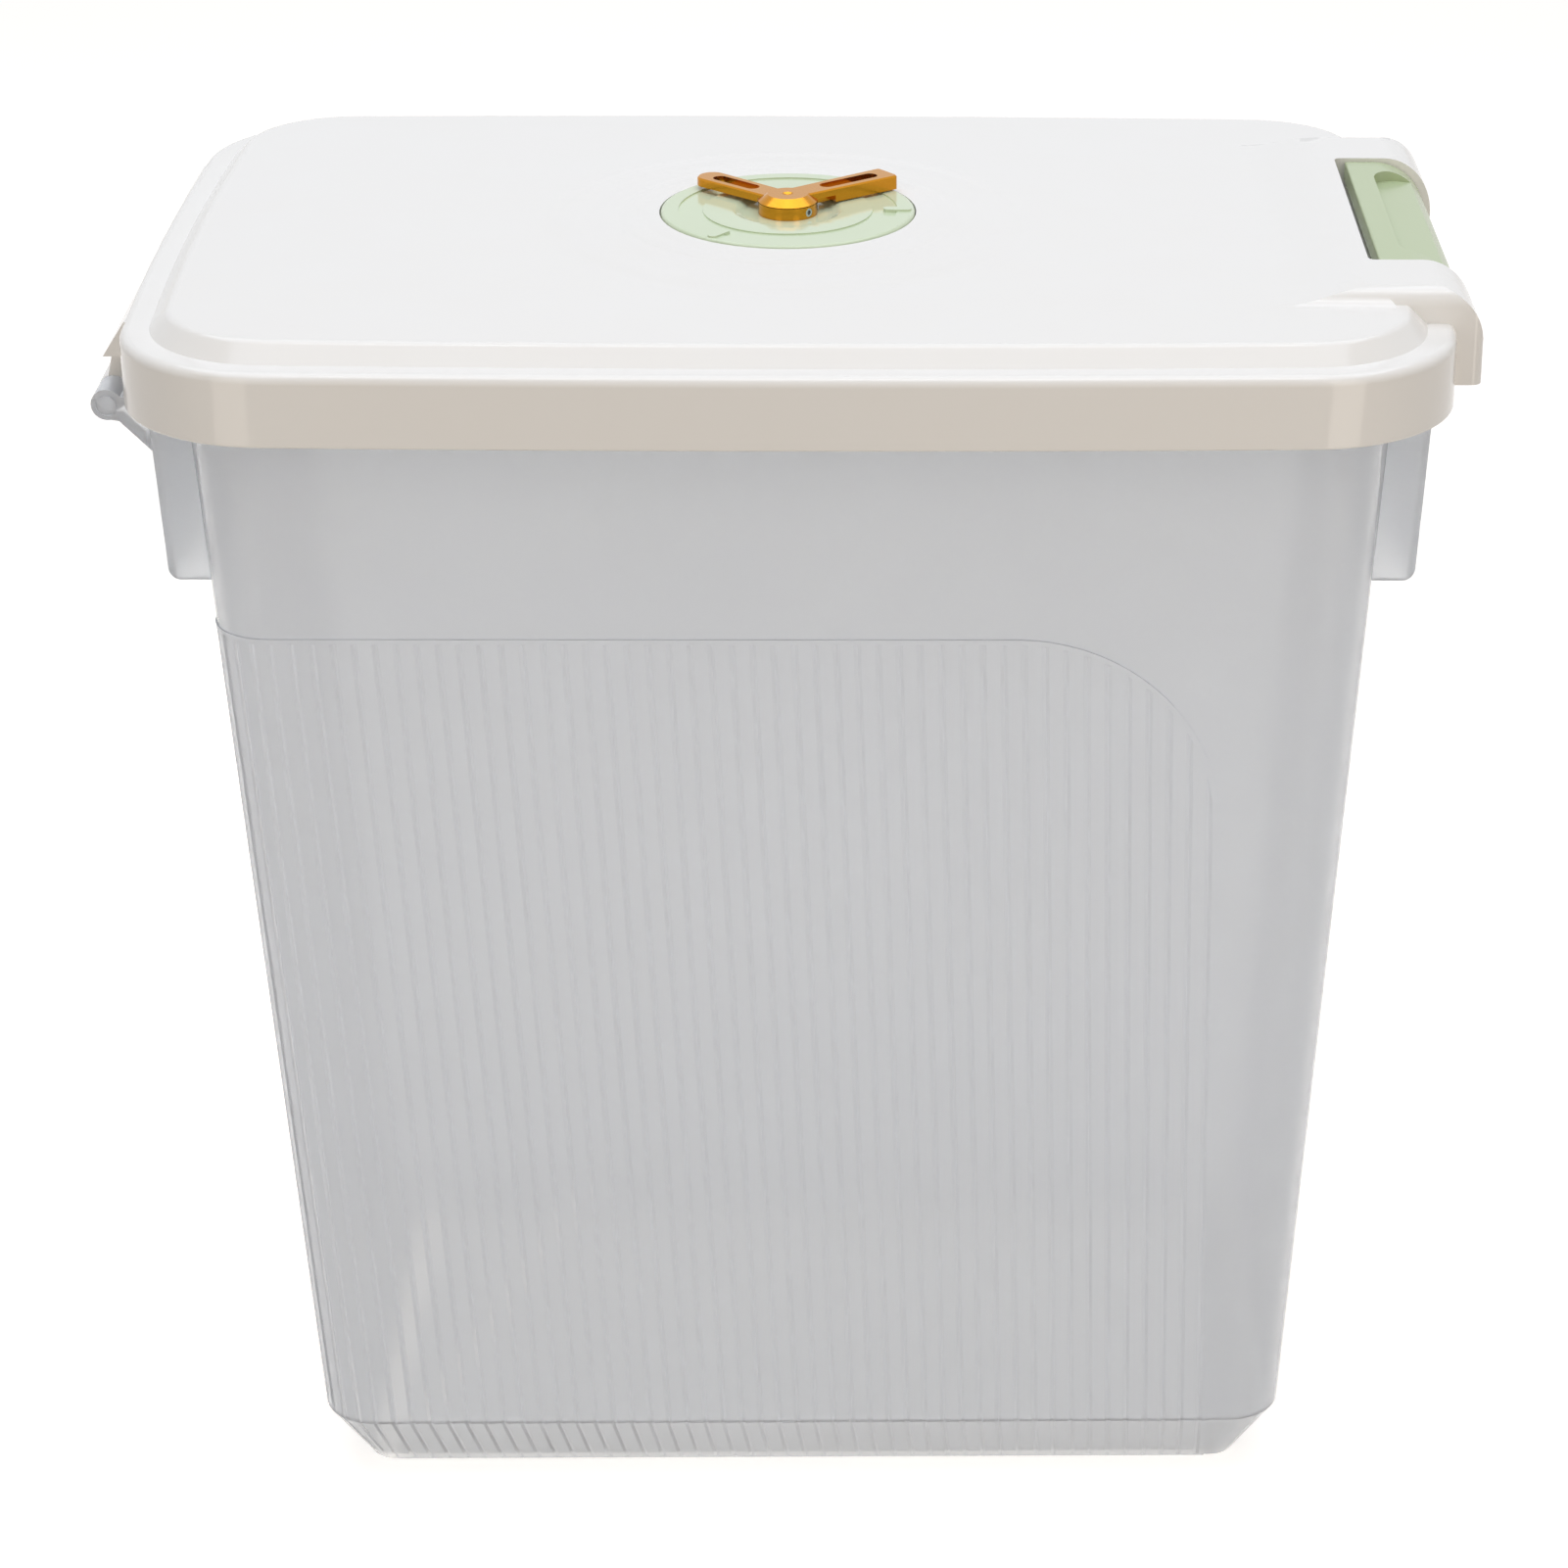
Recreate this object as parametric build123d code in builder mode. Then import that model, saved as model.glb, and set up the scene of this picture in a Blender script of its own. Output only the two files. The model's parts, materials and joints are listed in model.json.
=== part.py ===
"""Rice bin with a hinged lid: a clear ribbed bin, a white lid with a sprung latch, and a turning dial cap.

Millimetres, +Z up. The origin is the centre of the face that the bin stands on, +X is the latch side,
-X the hinge side and -Y the front. Every piece is one STEP file in parts/.
"""

import os
from math import atan2, cos, hypot, radians, sin, sqrt

from build123d import *

os.makedirs("parts", exist_ok=True)

# ---------------------------------------------------------------------------------------------
# Driving dimensions
# ---------------------------------------------------------------------------------------------

# Bin: a tapered tub with a chamfered foot.
mouth_length = 323.4
mouth_depth = 205.6
shoulder_length = 287.8
shoulder_depth = 169.4
bin_height = 357.3
bin_wall = 2.2
bin_floor = 2.8
bin_corner = 16.0
foot_corner = 8.0
foot_chamfer_height = 20.3
foot_chamfer_inset = 12.2
bin_flange_reach = 6.0
bin_flange_thickness = 2.2

# Reeded band: it wraps the front, the hinge side and the back.
reed_height = 0.45
reed_edge_share = 0.16
front_reeds = 46
corner_reeds = 5
side_reeds = 29
band_top = 280.5
band_edge_top = 116.6
band_edge_foot = 122.1
band_edge_corner = 57.0
band_border_width = 1.5
band_border_height = 0.5
reed_run_on = 3.0

# Grip skirts: hollow carrying handles below the flange, open underneath.
grip_reach = 12.8
grip_half_width = 80.0
grip_bottom = 290.4
grip_wall = 2.2
grip_corner = 3.0
grip_foot_corner = 4.4
grip_foot_play = 0.3

# Lid shell.
lid_length = 360.0
lid_depth = 245.0
lid_corner = 42.0
side_bow = 3.8
front_bow = 3.1
lid_wall = 2.4
skirt_depth = 20.0
rim_edge_radius = 2.8
skirt_lip_radius = 0.6
rim_width = 7.7
panel_rise = 5.15
panel_slope_run = 5.0
panel_edge_radius = 3.0

# Seal under the rim.
gasket_thickness = 3.0
gasket_overlap = 1.3
gasket_rib = 1.5
gasket_rib_drop = 1.5
gasket_rib_root = 0.3
seal_gap = 0.3

# Ripple mound round the dial: outer radii of the rings and their heights over the panel.
ripple_radii = (72.0, 62.0, 50.5, 45.4, 38.6)
ripple_heights = (0.0, 0.9, 1.6, 2.2, 2.8)
ripple_sag = 0.25

# Dial cap.
dial_x = -2.5
dial_radius = 36.0
dial_thickness = 3.0
dial_stand = 3.4
dial_edge_radius = 1.2
dial_shoulder_radius = 1.1
dial_channel_outer_radius = 31.0
dial_channel_inner_radius = 24.0
dial_channel_depth = 0.4
dial_dish_radius = 15.8
dial_dish_drop = 1.2
dial_dish_slope = 3.0
dial_tick_length = 8.0
dial_tick_width = 3.0
dial_tick_height = 0.5
dial_tick_angles = (-127.0, -1.6)
dial_tick_centre = 31.0
dial_side_clearance = 0.35
dial_under_gap = 0.7
cap_hole_radius = 25.2
cap_skirt_clearance = 0.6
cap_skirt_wall = 2.0
cap_tab_reach = 1.8
cap_tab_height = 1.8
cap_tab_gap = 0.35
cap_tab_span = 24.0
cap_tab_angles = (30.0, 150.0, 270.0)
cap_notch_turn = 60.0
cap_notch_clearance = 0.4
cap_notch_play = 2.0
seal_ring_radius = 30.0
seal_ring_width = 2.4
seal_ring_gap = 0.3
seal_fit = 0.05
seal_groove_depth = 1.6

# Wing handle, its collar and its spindle.
hub_radius = 8.4
hub_top_radius = 5.7
hub_seam = 0.15
handle_rise = 4.4
collar_height = 3.4
dimple_radius = 1.6
dimple_depth = 0.6
arm_root_width = 7.8
arm_edge = 0.4
right_arm_length = 36.2
right_arm_angle = 38.0
right_arm_tip_width = 9.2
right_arm_tip_corner = 1.2
right_arm_thickness = 4.0
right_arm_relief = 14.5
arm_web_width = 3.6
arm_web_gap = 0.4
left_arm_length = 33.9
left_arm_angle = 137.8
left_arm_tip_width = 8.8
left_arm_tip_corner = 4.1
left_arm_thickness = 2.4
left_arm_relief = 9.0
left_arm_drop = 0.8
slot_rail = 1.8
slot_inner_radius = 11.8
slot_shelf_radius = 24.0
slot_shelf_depth = 1.2
right_slot_outer_radius = 31.5
left_slot_outer_radius = 28.6
spindle_radius = 2.5
spindle_clearance = 0.05
spindle_top_cover = 1.2
spindle_tail = 1.2
washer_radius = 5.5
washer_thickness = 1.0
nut_across_flats = 8.0
nut_thickness = 3.2
stack_gap = 0.05
grub_radius = 1.2
grub_angle = -43.0
grub_sink = 0.2
grub_socket_flats = 1.3
grub_socket_depth = 1.2

# Drying cup under the dial.
cup_boss_inner = 31.0
cup_boss_wall = 2.2
cup_boss_depth = 9.0
cup_wall = 1.6
cup_depth = 24.0
cup_insert = 4.0
cup_lip_height = 1.4
cup_fit = 0.1
cup_slot_count = 12
cup_slot_length = 12.0
cup_slot_width = 2.2
cup_slot_centre = 17.0

# Hinge on the left.
hinge_x = -184.7
hinge_z = 338.5
knuckle_radius = 4.3
hinge_half_width = 74.0
bin_knuckle_width = 12.0
lid_knuckle_width = 24.0
knuckle_side_gap = 0.4
hinge_pin_radius = 1.8
hinge_pin_clearance = 0.05
knuckle_end_cap = 1.6
knuckle_ring_radius = 2.5
knuckle_ring_width = 0.6
knuckle_ring_depth = 0.4
hood_top_z = 361.9
hood_top_x = -178.4
hood_tip_z = 352.2
hood_root_x = -178.0
hinge_arm_thickness = 3.8
gusset_drop = 19.0
gusset_step = 1.4
gusset_neck_x = -181.7
gusset_neck_drop = 0.3

# Latch housing on the right: a soft ramp, a rounded nose and a window for the lever.
housing_top = 4.4
housing_half_width = 76.0
housing_corner = 5.0
housing_cove_radius = 5.0
housing_cove_run_out = 6.0
housing_outer_x = 186.5
housing_bottom = 345.6
housing_root_x = 177.8
housing_ramp_start = 130.0
housing_ramp_end = 158.0
housing_nose_x = 172.0
housing_nose_z = 356.0
housing_face_corner = 3.0
housing_pocket_x = 177.0
housing_pocket_gap = 0.3
window_left_x = 157.2
window_half_width = 49.5
window_corner = 2.0

# Latch lever, its pin and its springs.
lever_side_gap = 0.5
lever_gap_left = 3.2
lever_below_top = 0.8
lever_wall = 1.6
lever_outer_x = 184.2
lever_nose_x = 168.5
lever_nose_z = 356.5
lever_edge_radius = 0.8
lever_left_drop = 5.4
lever_bottom = 344.9
lever_pivot_x = 174.5
lever_pivot_z = 365.9
lever_barrel_radius = 2.55
thumb_left_x = 167.3
thumb_half_width = 41.0
thumb_corner = 9.0
thumb_wall_drop = 2.8
thumb_outer_drop = 4.6
thumb_skin = 1.6
hook_half_width = 24.0
hook_thickness = 2.3
hook_tip_x = 172.0
hook_clearance = 0.4
hook_window_gap = 3.0
hook_window_top = 351.5
catch_half_width = 28.0
catch_outer_x = 175.2
catch_thickness = 2.4
catch_lead = 1.4
hook_lead = 1.4
catch_rib_width = 2.0
catch_rib_setback = 1.6
latch_pin_radius = 1.25
latch_pin_clearance = 0.05
latch_pin_grip = 1.6
spring_x = 163.65
spring_y = 34.0
spring_radius = 1.1
spring_wire = 0.5
spring_turns = 4.5
spring_seat_gap = 0.05

# ---------------------------------------------------------------------------------------------
# Levels and outlines worked out from them
# ---------------------------------------------------------------------------------------------

gasket_top = bin_height + seal_gap + gasket_thickness
rim_z = gasket_top + lid_wall
panel_z = rim_z + panel_rise
skirt_bottom = rim_z - skirt_depth
flange_top = skirt_bottom - 0.6
flange_bottom = flange_top - bin_flange_thickness
dial_z = panel_z + dial_stand
dial_under = dial_z - dial_thickness
dial_seat = dial_under - dial_under_gap
dish_z = dial_z - dial_dish_drop
housing_z = panel_z + housing_top
lever_top = housing_z - lever_below_top
handle_z = dial_z + handle_rise
collar_top = dish_z + collar_height
hub_bottom = collar_top + hub_seam
plate_bottom = panel_z - lid_wall
cap_tab_top = plate_bottom - cap_tab_gap
cap_skirt_bottom = cap_tab_top - cap_tab_height
seal_land_reach = gasket_overlap + seal_fit + gasket_rib
boss_bottom = panel_z - cup_boss_depth
rib_bottom = gasket_top - gasket_thickness - gasket_rib_drop
hook_top = lever_bottom + hook_thickness
catch_bottom = hook_top + hook_clearance

half_mouth_x = mouth_length / 2
half_mouth_y = mouth_depth / 2
half_shoulder_x = shoulder_length / 2
half_shoulder_y = shoulder_depth / 2


def half_length_at(z):
    """Half the bin's length at height z, above the chamfered foot."""
    rise = (z - foot_chamfer_height) / (bin_height - foot_chamfer_height)
    return half_shoulder_x + (half_mouth_x - half_shoulder_x) * rise


def half_depth_at(z):
    """Half the bin's depth at height z, above the chamfered foot."""
    rise = (z - foot_chamfer_height) / (bin_height - foot_chamfer_height)
    return half_shoulder_y + (half_mouth_y - half_shoulder_y) * rise


def band_edge_at(z):
    """Where the reeded band ends on the latch side, at height z."""
    return band_edge_foot + (band_edge_top - band_edge_foot) * z / band_top


def tub_sections(grow, bottom_z, top_z):
    """Three sections of a tub whose walls stand grow outside the bin's outer walls."""
    foot_inset = foot_chamfer_inset * (1 - bottom_z / foot_chamfer_height) - grow
    with BuildSketch(Plane.XY.offset(bottom_z)) as foot:
        RectangleRounded(shoulder_length - 2 * foot_inset, shoulder_depth - 2 * foot_inset, foot_corner + grow)
    with BuildSketch(Plane.XY.offset(foot_chamfer_height)) as shoulder:
        RectangleRounded(shoulder_length + 2 * grow, shoulder_depth + 2 * grow, bin_corner + grow)
    with BuildSketch(Plane.XY.offset(top_z)) as mouth:
        RectangleRounded(2 * (half_length_at(top_z) + grow), 2 * (half_depth_at(top_z) + grow), bin_corner + grow)
    return [foot.sketch, shoulder.sketch, mouth.sketch]


def reeded_section(z, half_x, half_y, radius):
    """Section at height z whose front, hinge side and back stand out in flat-topped reeds."""
    start_x = band_edge_at(z) + reed_run_on
    corner_x = half_x - radius
    corner_y = half_y - radius
    stations = []
    for i in range(front_reeds):
        stations.append((start_x - (start_x + corner_x) * i / front_reeds, -half_y))
    for i in range(corner_reeds):
        angle = radians(270 - 90 * i / corner_reeds)
        stations.append((-corner_x + radius * cos(angle), -corner_y + radius * sin(angle)))
    for i in range(side_reeds):
        stations.append((-half_x, -corner_y + 2 * corner_y * i / side_reeds))
    for i in range(corner_reeds):
        angle = radians(180 - 90 * i / corner_reeds)
        stations.append((-corner_x + radius * cos(angle), corner_y + radius * sin(angle)))
    for i in range(front_reeds + 1):
        stations.append((-corner_x + (start_x + corner_x) * i / front_reeds, half_y))
    outline = [stations[0]]
    for (x0, y0), (x1, y1) in zip(stations, stations[1:]):
        span = hypot(x1 - x0, y1 - y0)
        for share in (reed_edge_share, 1 - reed_edge_share):
            crest_x = x0 + share * (x1 - x0) - reed_height * (y1 - y0) / span
            crest_y = y0 + share * (y1 - y0) + reed_height * (x1 - x0) / span
            outline.append((crest_x, crest_y))
        outline.append((x1, y1))
    with BuildSketch(Plane.XY.offset(z)) as section:
        with BuildLine():
            Polyline(*outline, close=True)
        make_face()
    return section.sketch


def lid_plan(inset, z):
    """Plan of the lid at height z, drawn in by inset: four bowed sides and round corners."""
    side_x = lid_length / 2 - inset
    side_y = lid_depth / 2 - inset
    corner_x = side_x - side_bow
    corner_y = side_y - front_bow
    with BuildSketch(Plane.XY.offset(z)) as plan:
        with BuildLine():
            ThreePointArc((-corner_x, -corner_y), (0, -side_y), (corner_x, -corner_y))
            ThreePointArc((corner_x, -corner_y), (side_x, 0), (corner_x, corner_y))
            ThreePointArc((corner_x, corner_y), (0, side_y), (-corner_x, corner_y))
            ThreePointArc((-corner_x, corner_y), (-side_x, 0), (-corner_x, -corner_y))
        make_face()
        fillet(vertices(), lid_corner - inset)
    return plan.sketch


def keep(builder, name):
    """Label a finished piece and write its file."""
    builder.part.label = name
    export_step(builder.part, f"parts/{name}.step")
    print(f"{name}: {len(builder.part.solids())} solid(s), {builder.part.volume:.0f} mm3")


# ---------------------------------------------------------------------------------------------
# Bin
# ---------------------------------------------------------------------------------------------

# The band in the XZ plane, seen from the front: a slanted right edge and one large round corner.
with BuildSketch(Plane.XZ) as band_region:
    with BuildLine():
        Polyline(
            (-half_mouth_x - grip_reach, -1),
            (band_edge_at(-1), -1),
            (band_edge_at(band_top), band_top),
            (-half_mouth_x - grip_reach, band_top),
            close=True,
        )
    make_face()
    fillet(vertices().group_by(Axis.Y)[-1].sort_by(Axis.X)[-1], band_edge_corner)

with BuildSketch(Plane.XZ) as band_inner:
    offset(band_region.sketch, amount=-band_border_width)

with BuildPart() as reeded_band:
    loft(
        [
            reeded_section(
                0, half_shoulder_x - foot_chamfer_inset, half_shoulder_y - foot_chamfer_inset, foot_corner
            ),
            reeded_section(foot_chamfer_height, half_shoulder_x, half_shoulder_y, bin_corner),
            reeded_section(band_top + 1, half_length_at(band_top + 1), half_depth_at(band_top + 1), bin_corner),
        ],
        ruled=True,
    )
    extrude(band_region.sketch, amount=mouth_depth, both=True, mode=Mode.INTERSECT)

# A smooth bead stands along the band's right edge and top.
with BuildPart() as border_bead:
    loft(tub_sections(band_border_height, 0, bin_height), ruled=True)
    extrude(band_region.sketch, amount=mouth_depth, both=True, mode=Mode.INTERSECT)
    extrude(band_inner.sketch, amount=mouth_depth, both=True, mode=Mode.SUBTRACT)

# The grips run down parallel to the bin's own walls.
with BuildPart() as grip_skirts:
    for z in (grip_bottom, flange_top):
        with BuildSketch(Plane.XY.offset(z)):
            RectangleRounded(2 * (half_length_at(z) + grip_reach), 2 * grip_half_width, grip_corner)
    loft(ruled=True)
    with BuildSketch(Plane.XZ):
        with BuildLine():
            foot_x = half_length_at(grip_bottom) + grip_reach + grip_foot_play
            top_x = half_length_at(flange_top) + grip_reach + grip_foot_play
            Polyline(
                (-foot_x, grip_bottom),
                (foot_x, grip_bottom),
                (top_x, flange_top),
                (-top_x, flange_top),
                close=True,
            )
        make_face()
        fillet(vertices().group_by(Axis.Y)[0], grip_foot_corner)
    extrude(amount=grip_half_width + 1, both=True, mode=Mode.INTERSECT)
    for z in (grip_bottom - 1, flange_bottom):
        with BuildSketch(Plane.XY.offset(z)):
            Rectangle(2 * (half_length_at(z) + grip_reach - grip_wall), 2 * (grip_half_width - grip_wall))
    loft(ruled=True, mode=Mode.SUBTRACT)

bin_knuckle_centres = (
    -hinge_half_width + bin_knuckle_width / 2,
    0,
    hinge_half_width - bin_knuckle_width / 2,
)
lid_knuckle_centre = hinge_half_width - bin_knuckle_width - knuckle_side_gap - lid_knuckle_width / 2
grip_face_x = -(half_length_at(flange_top) + grip_reach)

with BuildPart() as bin_body:
    loft(tub_sections(0, 0, bin_height), ruled=True)
    add(reeded_band.part)
    add(border_bead.part)
    add(grip_skirts.part)
    with BuildSketch(Plane.XY.offset(flange_bottom)):
        RectangleRounded(
            2 * (half_length_at(flange_bottom) + bin_flange_reach),
            2 * (half_depth_at(flange_bottom) + bin_flange_reach),
            bin_corner + bin_flange_reach,
        )
    extrude(amount=bin_flange_thickness)
    # Hinge knuckles on gussets.
    for knuckle_y in bin_knuckle_centres:
        with BuildSketch(Plane.XZ.offset(-knuckle_y)):
            with Locations((hinge_x, hinge_z)):
                Circle(knuckle_radius)
            with BuildLine():
                Polyline(
                    (hinge_x - knuckle_radius * sin(radians(30)), hinge_z - knuckle_radius * cos(radians(30))),
                    (gusset_neck_x, hinge_z - knuckle_radius - gusset_neck_drop),
                    (grip_face_x + grip_wall, flange_top - gusset_drop),
                    (grip_face_x + grip_wall, flange_top - gusset_step),
                    (hinge_x, hinge_z + knuckle_radius / 2),
                    close=True,
                )
            make_face()
        extrude(amount=bin_knuckle_width / 2, both=True)
    # The catch ledge on the latch side, carried by two ribs.
    with BuildSketch(Plane.XZ):
        with BuildLine():
            Polyline(
                (half_shoulder_x, catch_bottom),
                (catch_outer_x, catch_bottom),
                (catch_outer_x, catch_bottom + catch_thickness - catch_lead),
                (catch_outer_x - catch_lead, catch_bottom + catch_thickness),
                (half_shoulder_x, catch_bottom + catch_thickness),
                close=True,
            )
        make_face()
    extrude(amount=catch_half_width, both=True)
    with BuildSketch(Plane.XY.offset(flange_bottom)):
        with Locations(
            (catch_outer_x - catch_rib_setback, catch_rib_width / 2 - catch_half_width),
            (catch_outer_x - catch_rib_setback, catch_half_width - catch_rib_width / 2),
        ):
            Rectangle(catch_outer_x - half_shoulder_x, catch_rib_width, align=(Align.MAX, Align.CENTER))
    extrude(amount=catch_bottom + catch_thickness - flange_bottom)
    # Inside.
    loft(tub_sections(-bin_wall, bin_floor, bin_height + 1), ruled=True, mode=Mode.SUBTRACT)
    # Bore for the hinge pin, blind at the front, and the ring on the front knuckle's face.
    with BuildSketch(Plane.XZ.offset(hinge_half_width - knuckle_end_cap)):
        with Locations((hinge_x, hinge_z)):
            Circle(hinge_pin_radius + hinge_pin_clearance)
    extrude(amount=-2 * hinge_half_width, mode=Mode.SUBTRACT)
    with BuildSketch(Plane.XZ.offset(hinge_half_width)):
        with Locations((hinge_x, hinge_z)):
            Circle(knuckle_ring_radius + knuckle_ring_width)
            Circle(knuckle_ring_radius, mode=Mode.SUBTRACT)
    extrude(amount=-knuckle_ring_depth, mode=Mode.SUBTRACT)
keep(bin_body, "bin_body")

with BuildPart() as hinge_pin:
    pin_front = hinge_half_width - knuckle_end_cap - hinge_pin_clearance
    with BuildSketch(Plane.XZ.offset(pin_front)):
        with Locations((hinge_x, hinge_z)):
            Circle(hinge_pin_radius)
    extrude(amount=-(pin_front + hinge_half_width))
    chamfer(edges().filter_by(GeomType.CIRCLE), hinge_pin_radius / 5)
keep(hinge_pin, "hinge_pin")

# ---------------------------------------------------------------------------------------------
# Lid
# ---------------------------------------------------------------------------------------------


def housing_profile(inset, bottom_z):
    """Latch housing seen from the front: ramp, flat top and rounded nose, drawn in by inset."""
    top_z = housing_z - inset
    with BuildSketch(Plane.XZ) as profile:
        with BuildLine():
            Spline(
                (housing_ramp_start, panel_z - inset),
                (housing_ramp_end, top_z),
                tangents=((1, 0), (1, 0)),
            )
            Line((housing_ramp_end, top_z), (housing_nose_x, top_z))
            EllipticalCenterArc(
                (housing_nose_x, housing_nose_z),
                housing_outer_x - housing_nose_x - inset,
                top_z - housing_nose_z,
                start_angle=0,
                arc_size=90,
            )
            Polyline(
                (housing_outer_x - inset, housing_nose_z),
                (housing_outer_x - inset, bottom_z),
                (housing_ramp_start, bottom_z),
                (housing_ramp_start, panel_z - inset),
            )
        make_face()
    return profile.sketch


def ring_sector(z, inner, outer, angle, span):
    """Part of a flat ring about the dial's axis, span degrees wide and centred on angle."""
    half = span / 2
    with BuildSketch(Plane.XY.offset(z)) as sector:
        with Locations((dial_x, 0)):
            Circle(outer)
            Circle(inner, mode=Mode.SUBTRACT)
            with BuildLine(mode=Mode.PRIVATE) as wedge:
                Polyline(
                    (0, 0),
                    (2 * outer * cos(radians(angle - half)), 2 * outer * sin(radians(angle - half))),
                    (2 * outer * cos(radians(angle + half)), 2 * outer * sin(radians(angle + half))),
                    close=True,
                )
            add(make_face(wedge.edges(), mode=Mode.PRIVATE), mode=Mode.INTERSECT)
    return sector.sketch


with BuildPart() as rim_block:
    extrude(lid_plan(0, skirt_bottom), amount=skirt_depth)
    fillet(faces().sort_by(Axis.Z)[-1].edges(), rim_edge_radius)
    fillet(faces().sort_by(Axis.Z)[0].edges(), skirt_lip_radius)

with BuildPart() as panel_block:
    loft([lid_plan(rim_width, rim_z), lid_plan(rim_width + panel_slope_run, panel_z)])
    fillet(faces().sort_by(Axis.Z)[-1].edges(), panel_edge_radius)

with BuildPart() as ripple_mound:
    with BuildSketch(Plane.XZ):
        with BuildLine():
            ripple_points = []
            for radius, height in zip(ripple_radii, ripple_heights):
                ripple_points.append((dial_x + radius, panel_z + height))
            for (x0, z0), (x1, z1) in zip(ripple_points, ripple_points[1:]):
                ThreePointArc((x0, z0), ((x0 + x1) / 2, (z0 + z1) / 2 - ripple_sag), (x1, z1))
            Polyline(
                ripple_points[-1],
                (dial_x, ripple_points[-1][1]),
                (dial_x, panel_z - lid_wall),
                (ripple_points[0][0], panel_z - lid_wall),
                ripple_points[0],
            )
        make_face()
    revolve(axis=Axis((dial_x, 0, 0), (0, 0, 1)))

# The housing's three outlines cross each other, which leaves its top edges and outer corners round.
with BuildPart() as housing_block:
    extrude(housing_profile(0, housing_bottom), amount=housing_half_width, both=True)
    with BuildSketch(Plane.YZ) as housing_side:
        with Locations((0, housing_bottom)):
            Rectangle(
                2 * housing_half_width, housing_z - housing_bottom, align=(Align.CENTER, Align.MIN)
            )
        fillet(vertices().group_by(Axis.Y)[-1], housing_corner)
    extrude(amount=lid_length, mode=Mode.INTERSECT)
    with BuildSketch(Plane.XY.offset(housing_bottom)) as housing_plan:
        with Locations((housing_outer_x, 0)):
            Rectangle(lid_depth, 2 * housing_half_width, align=(Align.MAX, Align.CENTER))
        fillet(vertices().group_by(Axis.X)[-1], housing_face_corner)
    extrude(amount=housing_z, mode=Mode.INTERSECT)
    # Nothing of it hangs inside the skirt.
    with BuildSketch(Plane.XY.offset(housing_bottom)):
        with Locations((housing_root_x, 0)):
            Rectangle(lid_depth, lid_depth, align=(Align.MAX, Align.CENTER))
    extrude(amount=rim_z - lid_wall / 2 - housing_bottom, mode=Mode.SUBTRACT)

# A soft cove leads from the panel up the housing's cheeks. It runs out at the panel's edge.
cheek_round_y = housing_half_width - housing_corner
cheek_round_z = housing_z - housing_corner
cove_z = panel_z + housing_cove_radius
cove_span = housing_corner + housing_cove_radius
cove_y = cheek_round_y + sqrt(cove_span**2 - (cove_z - cheek_round_z) ** 2)
cove_share = housing_corner / cove_span
cove_end = (
    cheek_round_y + (cove_y - cheek_round_y) * cove_share,
    cheek_round_z + (cove_z - cheek_round_z) * cove_share,
)
cove_half_turn = atan2(cove_y - cove_end[0], cove_z - cove_end[1]) / 2
cove_middle = (
    cove_y - housing_cove_radius * sin(cove_half_turn),
    cove_z - housing_cove_radius * cos(cove_half_turn),
)

with BuildPart() as cheek_coves:
    extrude(housing_profile(0, housing_bottom), amount=cove_y, both=True)
    with BuildSketch(Plane.YZ):
        with BuildLine():
            ThreePointArc((cove_y, panel_z), cove_middle, cove_end)
            Polyline(
                cove_end,
                (cheek_round_y, cove_end[1]),
                (cheek_round_y, panel_z - lid_wall / 2),
                (cove_y, panel_z - lid_wall / 2),
                (cove_y, panel_z),
            )
        make_face()
        mirror(about=Plane.YZ)
    extrude(amount=lid_length, mode=Mode.INTERSECT)
    panel_flat_inset = rim_width + panel_slope_run + panel_edge_radius
    loft(
        [
            lid_plan(panel_flat_inset, panel_z - lid_wall / 2),
            lid_plan(panel_flat_inset, panel_z),
            lid_plan(panel_flat_inset + housing_cove_run_out, cove_z),
        ],
        ruled=True,
        mode=Mode.INTERSECT,
    )

with BuildPart() as lid_outer:
    add(rim_block.part)
    add(panel_block.part)
    add(ripple_mound.part)
    add(housing_block.part)
    add(cheek_coves.part)
    # Window for the lever: above the rim's flat, and outside the skirt between the cheeks.
    with BuildSketch(Plane.XY.offset(rim_z)):
        with Locations((window_left_x, 0)):
            Rectangle(lid_depth, 2 * window_half_width, align=(Align.MIN, Align.CENTER))
        fillet(vertices().group_by(Axis.X)[0], window_corner)
    extrude(amount=skirt_depth, mode=Mode.SUBTRACT)
    with BuildSketch(Plane.XY.offset(skirt_bottom)) as outside_skirt:
        with Locations((housing_root_x, 0)):
            Rectangle(lid_depth, 2 * window_half_width, align=(Align.MIN, Align.CENTER))
        add(lid_plan(0, skirt_bottom), mode=Mode.SUBTRACT)
    extrude(amount=skirt_depth, mode=Mode.SUBTRACT)

with BuildPart() as window_walls:
    with BuildSketch(Plane.XY.offset(gasket_top)):
        with Locations((window_left_x - lid_wall, 0)):
            Rectangle(lid_depth, 2 * (window_half_width + lid_wall), align=(Align.MIN, Align.CENTER))
    extrude(amount=skirt_depth)

with BuildPart() as panel_hollow:
    loft(
        [
            lid_plan(rim_width + lid_wall / 2, gasket_top),
            lid_plan(rim_width + lid_wall / 2 + panel_slope_run, plate_bottom),
        ]
    )
    add(window_walls.part, mode=Mode.SUBTRACT)

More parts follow.
